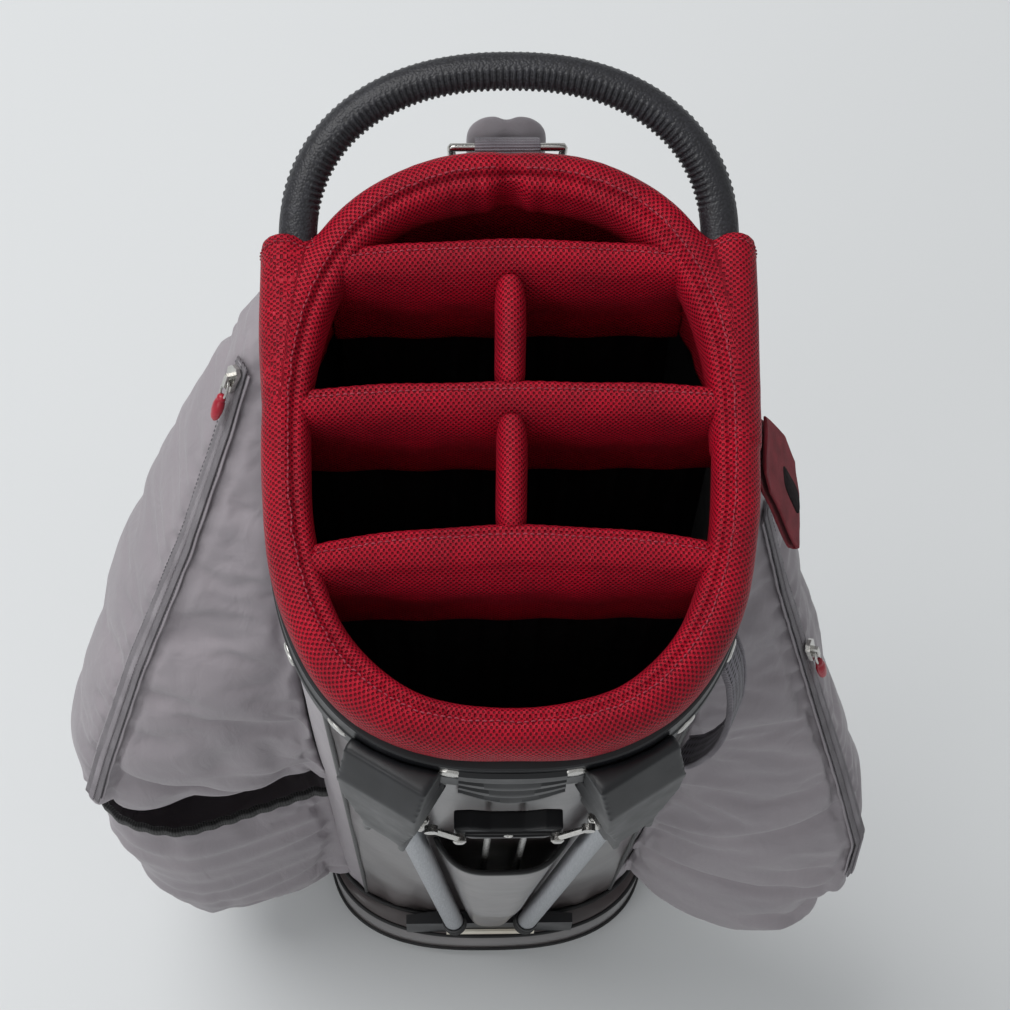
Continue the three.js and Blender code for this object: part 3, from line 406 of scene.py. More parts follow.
def corners_of(mesh):
    """The vertex at each face corner."""
    vertex = np.zeros(len(mesh.loops), np.int32)
    mesh.loops.foreach_get("vertex_index", vertex)
    return vertex


def points_of(mesh):
    """The mesh's points as rows."""
    co = np.zeros(len(mesh.vertices) * 3, np.float32)
    mesh.vertices.foreach_get("co", co)
    return co.reshape(-1, 3).astype(float)


def normals_of(mesh):
    """The mesh's vertex normals as rows."""
    co = np.zeros(len(mesh.vertices) * 3, np.float32)
    mesh.vertex_normals.foreach_get("vector", co)
    return co.reshape(-1, 3).astype(float)


def set_points(mesh, points):
    """Moves the mesh's points."""
    mesh.vertices.foreach_set("co", np.asarray(points, np.float32).ravel())
    mesh.update()


def face_ids(mesh):
    """The face that each corner belongs to."""
    totals = np.zeros(len(mesh.polygons), np.int32)
    mesh.polygons.foreach_get("loop_total", totals)
    return np.repeat(np.arange(len(totals)), totals)


def box_map(piece):
    """Maps each face straight along the axis that it looks down, in real metres."""
    mesh = piece.data
    normal = np.zeros(len(mesh.polygons) * 3, np.float32)
    mesh.polygons.foreach_get("normal", normal)
    axis = np.abs(normal.reshape(-1, 3)).argmax(1)[face_ids(mesh)]
    corner = points_of(mesh)[corners_of(mesh)]
    flat = np.stack([
        np.choose(axis, [corner[:, 1], corner[:, 0], corner[:, 0]]),
        np.choose(axis, [corner[:, 2], corner[:, 2], corner[:, 1]]),
    ], 1)
    layer = mesh.uv_layers.get("UVMap") or mesh.uv_layers.new(name="UVMap")
    layer.data.foreach_set("uv", flat.astype(np.float32).ravel())


def wrap_map(piece, flat_of_points, periods):
    """Maps a closed soft piece by a function of its points, and mends the faces on the joining line."""
    mesh = piece.data
    flat = flat_of_points[corners_of(mesh)]
    face = face_ids(mesh)
    for k, period in enumerate(periods):
        highest = np.full(len(mesh.polygons), -1e9)
        np.maximum.at(highest, face, flat[:, k])
        behind = highest[face] - flat[:, k] > period / 2
        flat[behind, k] += period
    layer = mesh.uv_layers.get("UVMap") or mesh.uv_layers.new(name="UVMap")
    layer.data.foreach_set("uv", flat.astype(np.float32).ravel())


def surface(name, points, wrap_rows=False, wrap_columns=False, ends=False, flat_angle=None):
    """A mesh from rows of points, mapped by the real distances along its rows and columns."""
    points = np.asarray(points, float)
    n, m = points.shape[:2]
    i, j = np.meshgrid(np.arange(n - (not wrap_rows)), np.arange(m - (not wrap_columns)), indexing="ij")
    quad = np.stack([i * m + j, (i + 1) % n * m + j, (i + 1) % n * m + (j + 1) % m, i * m + (j + 1) % m], -1)
    down = lengths(points[:, np.abs(points[:, :, 2].mean(0)).argmax()], True)
    over = lengths(points[n // 2], True)
    uv = np.stack([
        np.stack([down[a], over[b]], -1) for a, b in ((i, j), (i + 1, j), (i + 1, j + 1), (i, j + 1))
    ], -2)
    faces = quad.reshape(-1, 4).tolist()
    uv = uv.reshape(-1, 2)
    if ends:
        caps = [list(range(m)), list(range((n - 1) * m, n * m))]
        faces += caps
        uv = np.concatenate([uv] + [points[row][:, :2] for row in (0, n - 1)])
    return new_piece(name, points.reshape(-1, 3), faces, uv, flat_angle)


def rounded(width, height, power, count):
    """A rounded section as rows of (side, up)."""
    angle = tau * (np.arange(count) + 0.5) / count
    c, s = np.cos(angle), np.sin(angle)
    return np.stack([
        width / 2 * np.sign(c) * np.abs(c) ** (2 / power),
        height / 2 * np.sign(s) * np.abs(s) ** (2 / power),
    ], -1)


def sweep(name, path, section, up, closed=False, ends=True, flat_angle=None):
    """A section carried along a path; up says which way its second axis looks."""
    path = np.asarray(path, float)
    tangent = np.roll(path, -1, 0) - np.roll(path, 1, 0) if closed else np.gradient(path, axis=0)
    tangent = unit(tangent)
    side = unit(np.cross(tangent, np.broadcast_to(np.asarray(up, float), path.shape)))
    lift = np.cross(side, tangent)
    section = np.broadcast_to(section, (len(path), *np.shape(section)[-2:]))
    points = path[:, None] + side[:, None] * section[..., :1] + lift[:, None] * section[..., 1:]
    return surface(name, points, closed, True, ends and not closed, flat_angle)


def cord(name, path, size, up, material, body=BAG, replaces=(), closed=False):
    """A wire, tape, piping or webbing: size is its width, height, squareness and number of sides."""
    return give(sweep(name, path, rounded(*size), up, closed), material, body, replaces)


def turned(name, start, axis, profile, sides=48, stretch=(1.0, 1.0), across=None, flat_angle=35):
    """A turned part: profile rows of (radius, distance along the axis); stretch makes it oval."""
    axis = unit(np.asarray(axis, float))
    if across is None:
        across = (1, 0, 0) if abs(axis[0]) < 0.9 else (0, 1, 0)
    helper = np.asarray(across, float)
    first = unit(helper - axis * (helper @ axis))
    second = np.cross(axis, first)
    angle = tau * np.arange(sides) / sides
    ring = stretch[0] * np.cos(angle)[:, None] * first + stretch[1] * np.sin(angle)[:, None] * second
    profile = np.asarray(profile, float)
    points = np.asarray(start) + profile[:, None, :1] * ring + profile[:, None, 1:] * axis
    return surface(name, points, False, True, profile[0, 0] > 0 or profile[-1, 0] > 0, flat_angle)


def own_axis(node):
    """The long axis of a straight CAD node: its start, direction, length and radius."""
    points = points_of(frame["nodes"][node].data)
    middle = points.mean(0)
    axis = np.linalg.svd(points - middle, full_matrices=False)[2][0]
    axis = axis if axis[2] > 0 or abs(axis[2]) < 1e-6 else -axis
    along = (points - middle) @ axis
    off = np.linalg.norm(points - middle - along[:, None] * axis, axis=1)
    return middle + axis * along.min(), axis, along.max() - along.min(), off.max()


def stations(node):
    """The levels of a strip-like CAD node, from the lowest up: each the points at that height."""
    points = points_of(frame["nodes"][node].data)
    heights = np.unique(np.round(points[:, 2], 4))
    return [np.unique(np.round(points[np.abs(points[:, 2] - z) < 1e-4], 5), axis=0) for z in heights]


def copy_of(node, name):
    """A new piece with a CAD node's shape, to be worked on."""
    mesh = frame["nodes"][node].data.copy()
    mesh.materials.clear()
    mesh.name = name
    piece = bpy.data.objects.new(name, mesh)
    bpy.context.scene.collection.objects.link(piece)
    return piece


def bake_modifiers(piece):
    """Keeps the shape that the modifiers give, and removes them."""
    graph = bpy.context.evaluated_depsgraph_get()
    mesh = bpy.data.meshes.new_from_object(piece.evaluated_get(graph), depsgraph=graph)
    piece.modifiers.clear()
    old, piece.data = piece.data, mesh
    bpy.data.meshes.remove(old)


def remesh(piece, size, smooth=4):
    """Even quads of one size, with the corners eased."""
    even = piece.modifiers.new("even", "REMESH")
    even.mode, even.voxel_size = "VOXEL", size
    ease = piece.modifiers.new("ease", "SMOOTH")
    ease.iterations, ease.factor = smooth, 0.5
    bake_modifiers(piece)


def refine(piece, levels=1):
    """Subdivides a finished soft piece."""
    finer = piece.modifiers.new("finer", "SUBSURF")
    finer.levels = finer.render_levels = levels
    bake_modifiers(piece)
    shade(piece)


def thicken(piece, thickness, flat_angle=None):
    """Gives a single layer the thickness of its real cloth or plastic."""
    layer = piece.modifiers.new("thick", "SOLIDIFY")
    layer.thickness, layer.offset = thickness, 0
    bake_modifiers(piece)
    shade(piece, flat_angle)


def simulate(piece, pressure, held, cap, slack=0.0, bending=0.5, steps=20):
    """Cloth simulation of a closed soft piece: held points stay, and no point moves further than cap."""
    rest = points_of(piece.data)
    pins = piece.vertex_groups.new(name="held")
    pins.add(np.nonzero(held)[0].tolist(), 1.0, "REPLACE")
    cloth = piece.modifiers.new("cloth", "CLOTH")
    settings = cloth.settings
    settings.quality = 5
    settings.mass = 0.3
    settings.use_pressure = True
    settings.uniform_pressure_force = pressure
    settings.effector_weights.gravity = 0
    settings.vertex_group_mass = "held"
    settings.shrink_min = -slack
    settings.bending_stiffness = bending
    cloth.point_cache.frame_end = steps
    for step in range(1, steps + 1):
        bpy.context.scene.frame_set(step)
    graph = bpy.context.evaluated_depsgraph_get()
    shape = piece.evaluated_get(graph).to_mesh()
    moved = points_of(shape) - rest
    piece.evaluated_get(graph).to_mesh_clear()
    piece.modifiers.remove(cloth)
    piece.vertex_groups.remove(pins)
    far = np.maximum(np.linalg.norm(moved, axis=1, keepdims=True), 1e-9)
    set_points(piece.data, rest + moved * np.tanh(far / cap) * cap / far)
    bpy.context.scene.frame_set(1)


def give(piece, material, body=BAG, replaces=()):
    """Finishes a piece: its material or materials, the body it rides on, and what it stands for."""
    names = [material] if isinstance(material, str) else material
    piece.data.materials.clear()
    for name in names:
        piece.data.materials.append(FINISHES[name])
    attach(piece, body)
    if replaces:
        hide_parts(*replaces)
    return piece


def joined(name, pieces):
    """Several new pieces as one."""
    for piece in pieces:
        piece.select_set(True)
    with bpy.context.temp_override(active_object=pieces[0], selected_editable_objects=pieces,
                                   selected_objects=pieces, object=pieces[0]):
        bpy.ops.object.join()
    pieces[0].name = pieces[0].data.name = name
    return pieces[0]


def nearest(piece, points, lift=0.0):
    """The closest points of a piece's surface, lifted off it, and the normals there."""
    tree = BVHTree.FromObject(piece, bpy.context.evaluated_depsgraph_get())
    found = [tree.find_nearest(Vector(p)) for p in points]
    place = np.array([f[0] for f in found])
    normal = np.array([f[1] for f in found])
    return place + normal * lift, normal


def between(spots, far, rows):
    """Rows read off at distances along their path, of which far gives each row's own."""
    return np.stack([np.interp(spots, far, rows[:, k]) for k in range(3)], -1)


def resampled(path, step):
    """The same path with points a step apart."""
    far = lengths(path)
    count = max(2, int(round(far[-1] / step)) + 1)
    return between(np.linspace(0, far[-1], count), far, path)


def stitches(name, path, normals, material, pitch, length, width):
    """A row of stitches: each a short rounded thread lying along the path."""
    far = lengths(path)
    middles = np.arange(pitch / 2, far[-1], pitch)
    behind, at, ahead = (between(middles + gap, far, path) for gap in (-1 * MM, 0, 1 * MM))
    up = unit(between(middles, far, normals))
    along = unit(ahead - behind)
    side = unit(np.cross(along, up))
    turn = tau * np.arange(6) / 6
    verts, faces = [], []
    for k, middle in enumerate(at):
        base = k * 26
        verts.append(middle - along[k] * length / 2)
        for t in (-0.36, -0.14, 0.14, 0.36):
            size = width / 2 * math.sqrt(1 - (1.8 * t) ** 2)
            arch = up[k] * width * (0.5 - abs(t))
            for a in turn:
                offset = side[k] * math.cos(a) * size + up[k] * math.sin(a) * size
                verts.append(middle + along[k] * length * t + offset + arch)
        verts.append(middle + along[k] * length / 2)
        for j in range(6):
            follow = (j + 1) % 6
            faces.append((base, base + 1 + follow, base + 1 + j))
            faces.append((base + 25, base + 19 + j, base + 19 + follow))
            for ring in range(3):
                low = base + 1 + ring * 6
                faces.append((low + j, low + follow, low + 6 + follow, low + 6 + j))
    return give(new_piece(name, verts, faces), material)


# ---------- the bag's own shapes ----------
def oval(angle, outline, grow=0.0):
    """Points of an oval whose front and back differ: outline is half width, front and back."""
    c, s = np.cos(angle), np.sin(angle)
    power = 2 / np.where(s < 0, FRONT_POWER, BACK_POWER)
    depth = np.where(s < 0, outline[1], outline[2]) + grow
    return (outline[0] + grow) * np.sign(c) * np.abs(c) ** power, depth * np.sign(s) * np.abs(s) ** power


def half_width(outline, y, grow=0.0):
    """Half the width of such an oval at a distance y from its middle."""
    power = FRONT_POWER if y < 0 else BACK_POWER
    depth = (outline[1] if y < 0 else outline[2]) + grow
    return (outline[0] + grow) * (1 - min(1.0, abs(y) / depth) ** power) ** (1 / power)


def even_angles(outline, count, start=0.0, stop=tau, closed=True):
    """Angles that space points evenly round an oval."""
    dense = np.linspace(start, stop, 6000)
    x, y = oval(dense, outline)
    far = np.concatenate([[0], np.cumsum(np.hypot(np.diff(x), np.diff(y)))])
    return np.interp(np.linspace(0, far[-1], count + closed)[:count], far, dense)


def rim_point(p, q, h):
    """The sloping rim's coordinates: p to the right, q along the slope to the back, h straight up."""
    p, q, h = np.broadcast_arrays(p, q, h)
    return xyz(p, q * math.cos(SLOPE), RIM_HEIGHT + q * math.sin(SLOPE) + h)


def body_point(angle, share, grow=0.0):
    """The outer face of the fabric body: share is 0 at the base and 1 at the collar."""
    angle, share, grow = np.broadcast_arrays(angle, share, grow)
    x0, y0 = oval(angle, FOOT, grow)
    top = rim_point(*oval(angle, RIM, PANEL_GROW + grow), -SKIRT - 4 * MM)
    low = xyz(x0, y0, PANEL_LOW)
    return low + (top - low) * share[..., None]


def wall_share(y, z):
    """How far up the body a point of the wall is."""
    share = (z - PANEL_LOW) / 0.71
    for _ in range(5):
        depth = np.where(y < 0, FOOT[1], FOOT[2])
        deep = np.where(y < 0, RIM[1], RIM[2]) * math.cos(SLOPE) + PANEL_GROW
        top_y = y * deep / (depth + (deep - depth) * share)
        top_z = RIM_HEIGHT - SKIRT - 4 * MM + top_y * math.tan(SLOPE)
        share = (z - PANEL_LOW) / (top_z - PANEL_LOW)
    return share


def front_y(x, z):
    """The front wall's y at a height and a distance from the middle."""
    share = wall_share(np.full_like(z, -0.12), z)
    deep = FOOT[1] + ((RIM[1] + PANEL_GROW) * math.cos(SLOPE) - FOOT[1]) * share
    half = FOOT[0] + (RIM[0] + PANEL_GROW - FOOT[0]) * share
    return -deep * (1 - (np.abs(x) / half) ** FRONT_POWER) ** (1 / FRONT_POWER)


def side_x(y, z, grow=0.0):
    """Half the body's width at a height and a distance from the middle."""
    share = wall_share(y, z)
    depth = np.where(y < 0, FOOT[1], FOOT[2])
    deep = (np.where(y < 0, RIM[1], RIM[2]) + PANEL_GROW) * math.cos(SLOPE)
    deep = depth + (deep - depth) * share + grow
    half = FOOT[0] + (RIM[0] + PANEL_GROW - FOOT[0]) * share + grow
    power = np.where(y < 0, FRONT_POWER, BACK_POWER)
    return half * (1 - np.minimum(1, np.abs(y) / deep) ** power) ** (1 / power)


# ---------- settings ----------
def dimension(name, description, default):
    """A length that a user may change."""
    return FloatProperty(name=name, description=description, default=default, unit="LENGTH")


class BagColours(bpy.types.PropertyGroup):
    mesh: FloatVectorProperty(name="Air mesh", description="Colour of the padded rim and dividers",
                              subtype="COLOR", size=4, min=0, max=1, default=linear("#cc0a2c"))
    nylon: FloatVectorProperty(name="Nylon", description="Colour of the pockets and side panels",
                               subtype="COLOR", size=4, min=0, max=1, default=linear("#979095"))


class BagRim(bpy.types.PropertyGroup):
    width: dimension("Roll width", "Width of the padded roll before it swells", 25 * MM)
    height: dimension("Roll height", "Height of the padded roll before it swells", 34.5 * MM)
    middle: dimension("Roll middle", "Middle of the roll above the rim's plane", -4 * MM)
    seam_depth: dimension("Seam depth", "How deep a seam pulls into the padding", 2.6 * MM)
    stitch: dimension("Stitch pitch", "Distance between stitches", 3.4 * MM)


class BagDividers(bpy.types.PropertyGroup):
    skirt: dimension("Skirt depth", "How far the mesh cover hangs below the rim's plane", 68 * MM)
    half: dimension("Skirt half width", "Half the thickness of the cover over the bar", 6.2 * MM)


class BagHandle(bpy.types.PropertyGroup):
    rib: dimension("Rib pitch", "Distance between the finger ribs", 3.3 * MM)
    rib_depth: dimension("Rib depth", "Height of the finger ribs", 1.1 * MM)


class BagPockets(bpy.types.PropertyGroup):
    slack: FloatProperty(name="Slack", description="Extra cloth in the pockets, as a share", default=0.055)
    swell: dimension("Swell", "Most that the cloth may move as it settles", 10 * MM)
    voxel: dimension("Cell", "Size of the mesh cells that the cloth is settled on", 6 * MM)


class BagStage(bpy.types.PropertyGroup):
    azimuth: FloatProperty(name="Azimuth", description="Camera's turn round the bag", default=radians(-4.2),
                           subtype="ANGLE")
    elevation: FloatProperty(name="Elevation", description="Camera's height above the horizon",
                             default=radians(69.38), subtype="ANGLE")
    roll: FloatProperty(name="Roll", description="Camera's roll", default=radians(3.53), subtype="ANGLE")
    lens: FloatProperty(name="Lens", description="Focal length in millimetres", default=92.67, unit="CAMERA")
    place: FloatVectorProperty(name="Place", description="Where the camera stands", subtype="TRANSLATION",
                               default=(-0.03626, -0.47413, 2.02314))


FINISHES = {}


# ---------- rim ----------
def rim_lines():
    """The middle lines of the rim's cover: the ring, then each sleeve, with distances along them."""
    p, q = oval(even_angles(RIM, 1440), RIM)
    ring = np.stack([p, q], -1)
    far = lengths(ring, True)
    sleeve_q = np.linspace(0.02, 0.12, 120)
    lines = [(ring, far[:-1], far[-1])]
    for side in (1, -1):
        line = np.stack([np.full_like(sleeve_q, side * (RIM[0] + 0.5 * MM)), sleeve_q], -1)
        start = np.interp(0.02, ring[:360, 1], far[:360]) if side > 0 else far[-1] / 2 - 0.02
        lines.append((line, start + side * (sleeve_q - 0.02), far[-1]))
    return lines


def rim_coordinates(points, sleeves=True):
    """Where points lie round the rim: distance along it, distance out from its middle line, and height."""
    q = points[:, 1] / math.cos(SLOPE)
    flat = np.stack([points[:, 0], q], -1)
    up = points[:, 2] - RIM_HEIGHT - q * math.sin(SLOPE)
    along, out, nearest_yet = np.zeros(len(points)), np.zeros(len(points)), np.full(len(points), 1e9)
    for line, far, _ in rim_lines()[:3 if sleeves else 1]:
        step = unit(np.roll(line, -1, 0) - line) if len(line) > 1000 else np.broadcast_to(
            unit(line[1] - line[0]), line.shape)
        for part in np.array_split(np.arange(len(points)), max(1, len(points) // 4000)):
            gap = flat[part, None] - line[None]
            square = (gap ** 2).sum(-1)
            best = square.argmin(1)
            reached = square[np.arange(len(part)), best]
            closer = reached < nearest_yet[part] - (0 if len(line) > 1000 else 4e-6)
            chosen, which = part[closer], best[closer]
            away = flat[chosen] - line[which]
            forward = step[which]
            outward = np.stack([forward[:, 1], -forward[:, 0]], -1)
            outward *= np.sign((outward * line[which]).sum(-1, keepdims=True))
            nearest_yet[chosen] = reached[closer]
            along[chosen] = far[which] + (away * forward).sum(-1)
            out[chosen] = (away * outward).sum(-1)
    return along, out, up


class BAG_OT_rim(bpy.types.Operator):
    """Padded roll of the rim with its two handle sleeves, the seam, its stitches and the facing inside"""
    bl_idname = "bag.rim"
    bl_label = "Padded rim"

    def execute(self, context):
        sizes = context.scene.bag_rim
        angles = even_angles(RIM, 230)
        section = rounded(sizes.width, sizes.height, 2.4, 30)
        ring = np.stack([rim_point(*oval(angles, RIM, out), up + sizes.middle) for out, up in section], 1)
        parts = [surface("ring", ring, True, True)]
        sleeve_end = BOX["handle_grip"][0].y / math.cos(SLOPE) + 12 * MM
        reach = np.concatenate([np.linspace(0.018, sleeve_end - 4 * MM, 24),
                                sleeve_end - np.array([2.5, 1.2, 0.4, 0]) * MM])
        fullness = np.concatenate([[0.7, 0.9], np.ones(22), [0.97, 0.9, 0.78, 0.5]])
        for side in (1, -1):
            tube = np.stack([
                rim_point(side * (RIM[0] + 0.5 * MM + out * fullness), reach, up * fullness + sizes.middle)
                for out, up in rounded(24.5 * MM, sizes.height - 1 * MM, 2.4, 30)], 1)
            parts.append(surface("sleeve", tube, False, True, True))
        pad = joined("rim_pad", parts)
        remesh(pad, 3.2 * MM, 3)
        points = points_of(pad.data)
        _, _, up = rim_coordinates(points)
        simulate(pad, 3.5, up < -17 * MM, 2.2 * MM, bending=1.0)
        ease = pad.modifiers.new("ease", "SMOOTH")
        ease.iterations, ease.factor = 3, 0.5
        refine(pad)
        self.shape(pad, sizes)
        give(pad, "air_mesh", replaces=["collar_pad"])
        self.sew(pad, sizes)
        self.facing()
        return {"FINISHED"}

    def shape(self, pad, sizes):
        """Pulls in the seam and the gather at the back, and maps the knit along the roll."""
        points, normals = points_of(pad.data), normals_of(pad.data)
        along, out, up = rim_coordinates(points, sleeves=False)
        turn = np.arctan2(up - sizes.middle, out)
        top = np.arctan2(sizes.height / 2, SEAM_OUT)
        away = (turn - top) * 16 * MM
        groove = np.exp(-(away / (1.7 * MM)) ** 2)
        pucker = np.sin(along * tau / (7 * MM)) * np.exp(-(away / (6 * MM)) ** 2)
        shoulder = np.exp(-((np.abs(away) - 6 * MM) / (4 * MM)) ** 2)
        on_ring = np.clip((16.5 * MM - np.abs(out)) / (2 * MM), 0, 1)
        move = on_ring * (-sizes.seam_depth * groove + 0.35 * MM * pucker + 0.6 * MM * shoulder)
        inner = np.clip((np.cos(turn - radians(165)) + 0.1) / 0.9, 0, 1)
        gather = np.exp(-(points[:, 0] / (6 * MM)) ** 2) * (points[:, 1] > 0)
        folds = np.exp(-(points[:, 0] / (26 * MM)) ** 2) * (points[:, 1] > 0) * inner
        move -= gather * (6 * MM * inner + 0.7 * MM)
        move += 0.6 * MM * folds * np.cos(points[:, 0] * tau / (11 * MM))
        slow = np.sin(along * 61) + np.sin(along * 37 + 1.3) + np.sin(along * 113 + turn * 2)
        set_points(pad.data, points + normals * (move + 0.25 * MM * slow)[:, None])
        along, out, up = rim_coordinates(points)
        turn = np.mod(np.arctan2(up - sizes.middle, out) + pi / 2, tau)
        total = rim_lines()[0][2]
        around = 15.5 * MM
        wrap_map(pad, np.stack([along, turn * around], -1), (total, tau * around))

    def sew(self, pad, sizes):
        """Lays the stitches in the seam and hems the sleeves."""
        angles = even_angles(RIM, 900)
        line = rim_point(*oval(angles, RIM, SEAM_OUT), sizes.height / 2 + 6 * MM)
        hidden = (np.abs(line[:, 0]) < 3 * MM) & (line[:, 1] > 0)
        path, normal = nearest(pad, line[~hidden], 0.1 * MM)
        start = int(np.argmax(np.abs(np.diff(path[:, 0]))) + 1)
        path, normal = np.roll(path, -start, 0), np.roll(normal, -start, 0)
        stitches("rim_seam_stitches", path, normal, "red_thread", sizes.stitch, 2.6 * MM, 0.95 * MM)
        for name, side in (("right", 1), ("left", -1)):
            turn = np.linspace(radians(-30), radians(210), 90)
            q = BOX["handle_grip"][0].y / math.cos(SLOPE) + 4 * MM
            out, up = 18 * MM * np.cos(turn), 22 * MM * np.sin(turn)
            around = rim_point(side * (RIM[0] + out), q, up + sizes.middle)
            path, normal = nearest(pad, around, 0.1 * MM)
            stitches(f"{name}_sleeve_stitches", path, normal, "red_thread", sizes.stitch, 2.5 * MM,
                     0.7 * MM)

    def facing(self):
        """The mesh facing that hangs inside the collar under the roll."""
        angles = even_angles(RIM, 260)
        heights = np.linspace(-12, -63, 14) * MM
        ease = np.linspace(0, 1, 14) ** 2
        ripple = 0.5 * MM * np.sin(angles * 40)
        sheet = np.stack([rim_point(*oval(angles, RIM, -4.2 * MM + ripple * k), h)
                          for h, k in zip(heights, ease, strict=True)], 1)
        piece = surface("rim_facing", sheet, True, False)
        thicken(piece, 1.1 * MM)
        give(piece, "air_mesh")


# ---------- dividers ----------
class BAG_OT_dividers(bpy.types.Operator):
    """Padded covers of the five divider bars, their stitches and the gathered cloth that hangs below"""
    bl_idname = "bag.dividers"
    bl_label = "Dividers"

    def execute(self, context):
        sizes = context.scene.bag_dividers
        for name in ("rear", "middle", "front"):
            low, high = BOX[f"{name}_bar"]
            pad_low, pad_high = BOX[f"{name}_bar_pad"]
            q = (low.y + high.y) / 2 / math.cos(SLOPE)
            width = 2 * (q - pad_low.y / math.cos(SLOPE))
            bow = pad_high.y / math.cos(SLOPE) - q - width / 2
            end = half_width(RIM, q) - 3 * MM
            self.cover(name, sizes, (-end, end), q, width, bow)
        for name, ahead, behind in (("rear_centre", "middle", "rear"), ("front_centre", "front", "middle")):
            start = BOX[f"{ahead}_bar_pad"][1].y / math.cos(SLOPE) - 5 * MM
            stop = BOX[f"{behind}_bar"][0].y / math.cos(SLOPE) - 1 * MM
            self.cover(name, sizes, (start, stop), 0.0, 17 * MM, 0.0, lengthwise=True)
        self.cloths()
        return {"FINISHED"}

    def section(self, width, sizes):
        """Round the padded top of a bar and down both sides of its cover, as (across, up)."""
        turn = np.linspace(radians(-28), radians(208), 30)
        c, s = np.cos(turn), np.sin(turn)
        top = np.stack([
            width / 2 * np.sign(c) * np.abs(c) ** (2 / 2.5),
            -6 * MM + 16.5 * MM * np.sign(s) * np.abs(s) ** (2 / 2.5)], -1)
        drop = np.linspace(-sizes.skirt, top[0, 1] - 4 * MM, 13)
        lean = np.clip((drop + 42 * MM) / (22 * MM), 0, 1) ** 1.6
        right = np.stack([sizes.half + (top[0, 0] * 0.94 - sizes.half) * lean, drop], -1)
        return np.concatenate([right, top, right[::-1] * (-1, 1)])

    def cover(self, name, sizes, ends, middle, width, bow, lengthwise=False):
        """One bar's padded cover."""
        count = int((ends[1] - ends[0]) / (3.5 * MM))
        t = np.concatenate([[0, 0.25, 0.6], np.arange(1, count), [count - 0.6, count - 0.25, count]]) / count
        edge = np.minimum(t, 1 - t) * (ends[1] - ends[0])
        from_end = 1 - np.minimum(edge / (13 * MM), 1)
        fullness = np.minimum(1, 0.45 + 0.55 * (1 - from_end ** 2.4) ** (1 / 2.4))
        section = self.section(width - 1.5 * MM, sizes)
        centre = -6 * MM
        rows = []
        for share, full in zip(t, fullness, strict=True):
            along = ends[0] + (ends[1] - ends[0]) * share
            across = section[:, 0] * np.where(section[:, 1] < -40 * MM, 1, full)
            loose = np.clip((section[:, 1] + 12 * MM) / (14 * MM), 0, 1)
            up = centre + (section[:, 1] - centre) * np.where(section[:, 1] < centre, 1, 0.55 + 0.45 * full)
            bend = bow * (1 - (2 * share - 1) ** 2) * loose
            rows.append(rim_point(middle + across, along, up) if lengthwise
                        else rim_point(along, middle + across + bend, up))
        cover = surface(f"{name}_divider_cover", rows, False, True, True)
        points = points_of(cover.data)
        up = points[:, 2] - RIM_HEIGHT - points[:, 1] * math.tan(SLOPE)
        reach = points[:, 1] / math.cos(SLOPE) if lengthwise else points[:, 0]
        near_end = np.minimum(reach - ends[0], ends[1] - reach) < 4 * MM
        simulate(cover, 3.5, (up < -36 * MM) | near_end, 2.0 * MM, bending=1.0, steps=14)
        refine(cover, 1)
        self.pull_in(cover, name, ends, middle, width, bow, lengthwise)
        give(cover, "air_mesh", replaces=[f"{name}_bar_pad"])

    def pull_in(self, cover, name, ends, middle, width, bow, lengthwise):
        """The top seam of a cross bar, near its back edge, and the soft waves of the padding."""
        points, normals = points_of(cover.data), normals_of(cover.data)
        q = points[:, 1] / math.cos(SLOPE)
        up = points[:, 2] - RIM_HEIGHT - q * math.sin(SLOPE)
        reach = q if lengthwise else points[:, 0]
        share = (reach - ends[0]) / (ends[1] - ends[0])
        bend = 0 if lengthwise else bow * (1 - (2 * share - 1) ** 2)
        across = points[:, 0] if lengthwise else q - middle - bend
        padded_part = np.clip((up + 24 * MM) / (6 * MM), 0, 1)
        move = 0.35 * MM * np.sin(reach * 95 + across * 160) * padded_part
        move += 0.5 * MM * np.sin(reach * 150 + 2) * (1 - padded_part)
        if not lengthwise:
            away = across - width * 0.2
            on_top = np.clip((up + 8 * MM) / (4 * MM), 0, 1)
            groove = np.exp(-(away / (1.6 * MM)) ** 2)
            pucker = np.sin(reach * tau / (6.5 * MM)) * np.exp(-(away / (5 * MM)) ** 2)
            move += on_top * (-1.7 * MM * groove + 0.28 * MM * pucker)
        set_points(cover.data, points + normals * move[:, None])
        if not lengthwise:
            steps = np.linspace(ends[0] + 7 * MM, ends[1] - 7 * MM, 160)
            curve = bow * (1 - (2 * (steps - ends[0]) / (ends[1] - ends[0]) - 1) ** 2)
            above = rim_point(steps, middle + curve + width * 0.2, 14 * MM)
            path, normal = nearest(cover, above, 0.1 * MM)
            stitches(f"{name}_divider_stitches", path, normal, "red_thread", 3.4 * MM, 2.5 * MM,
                     0.95 * MM)

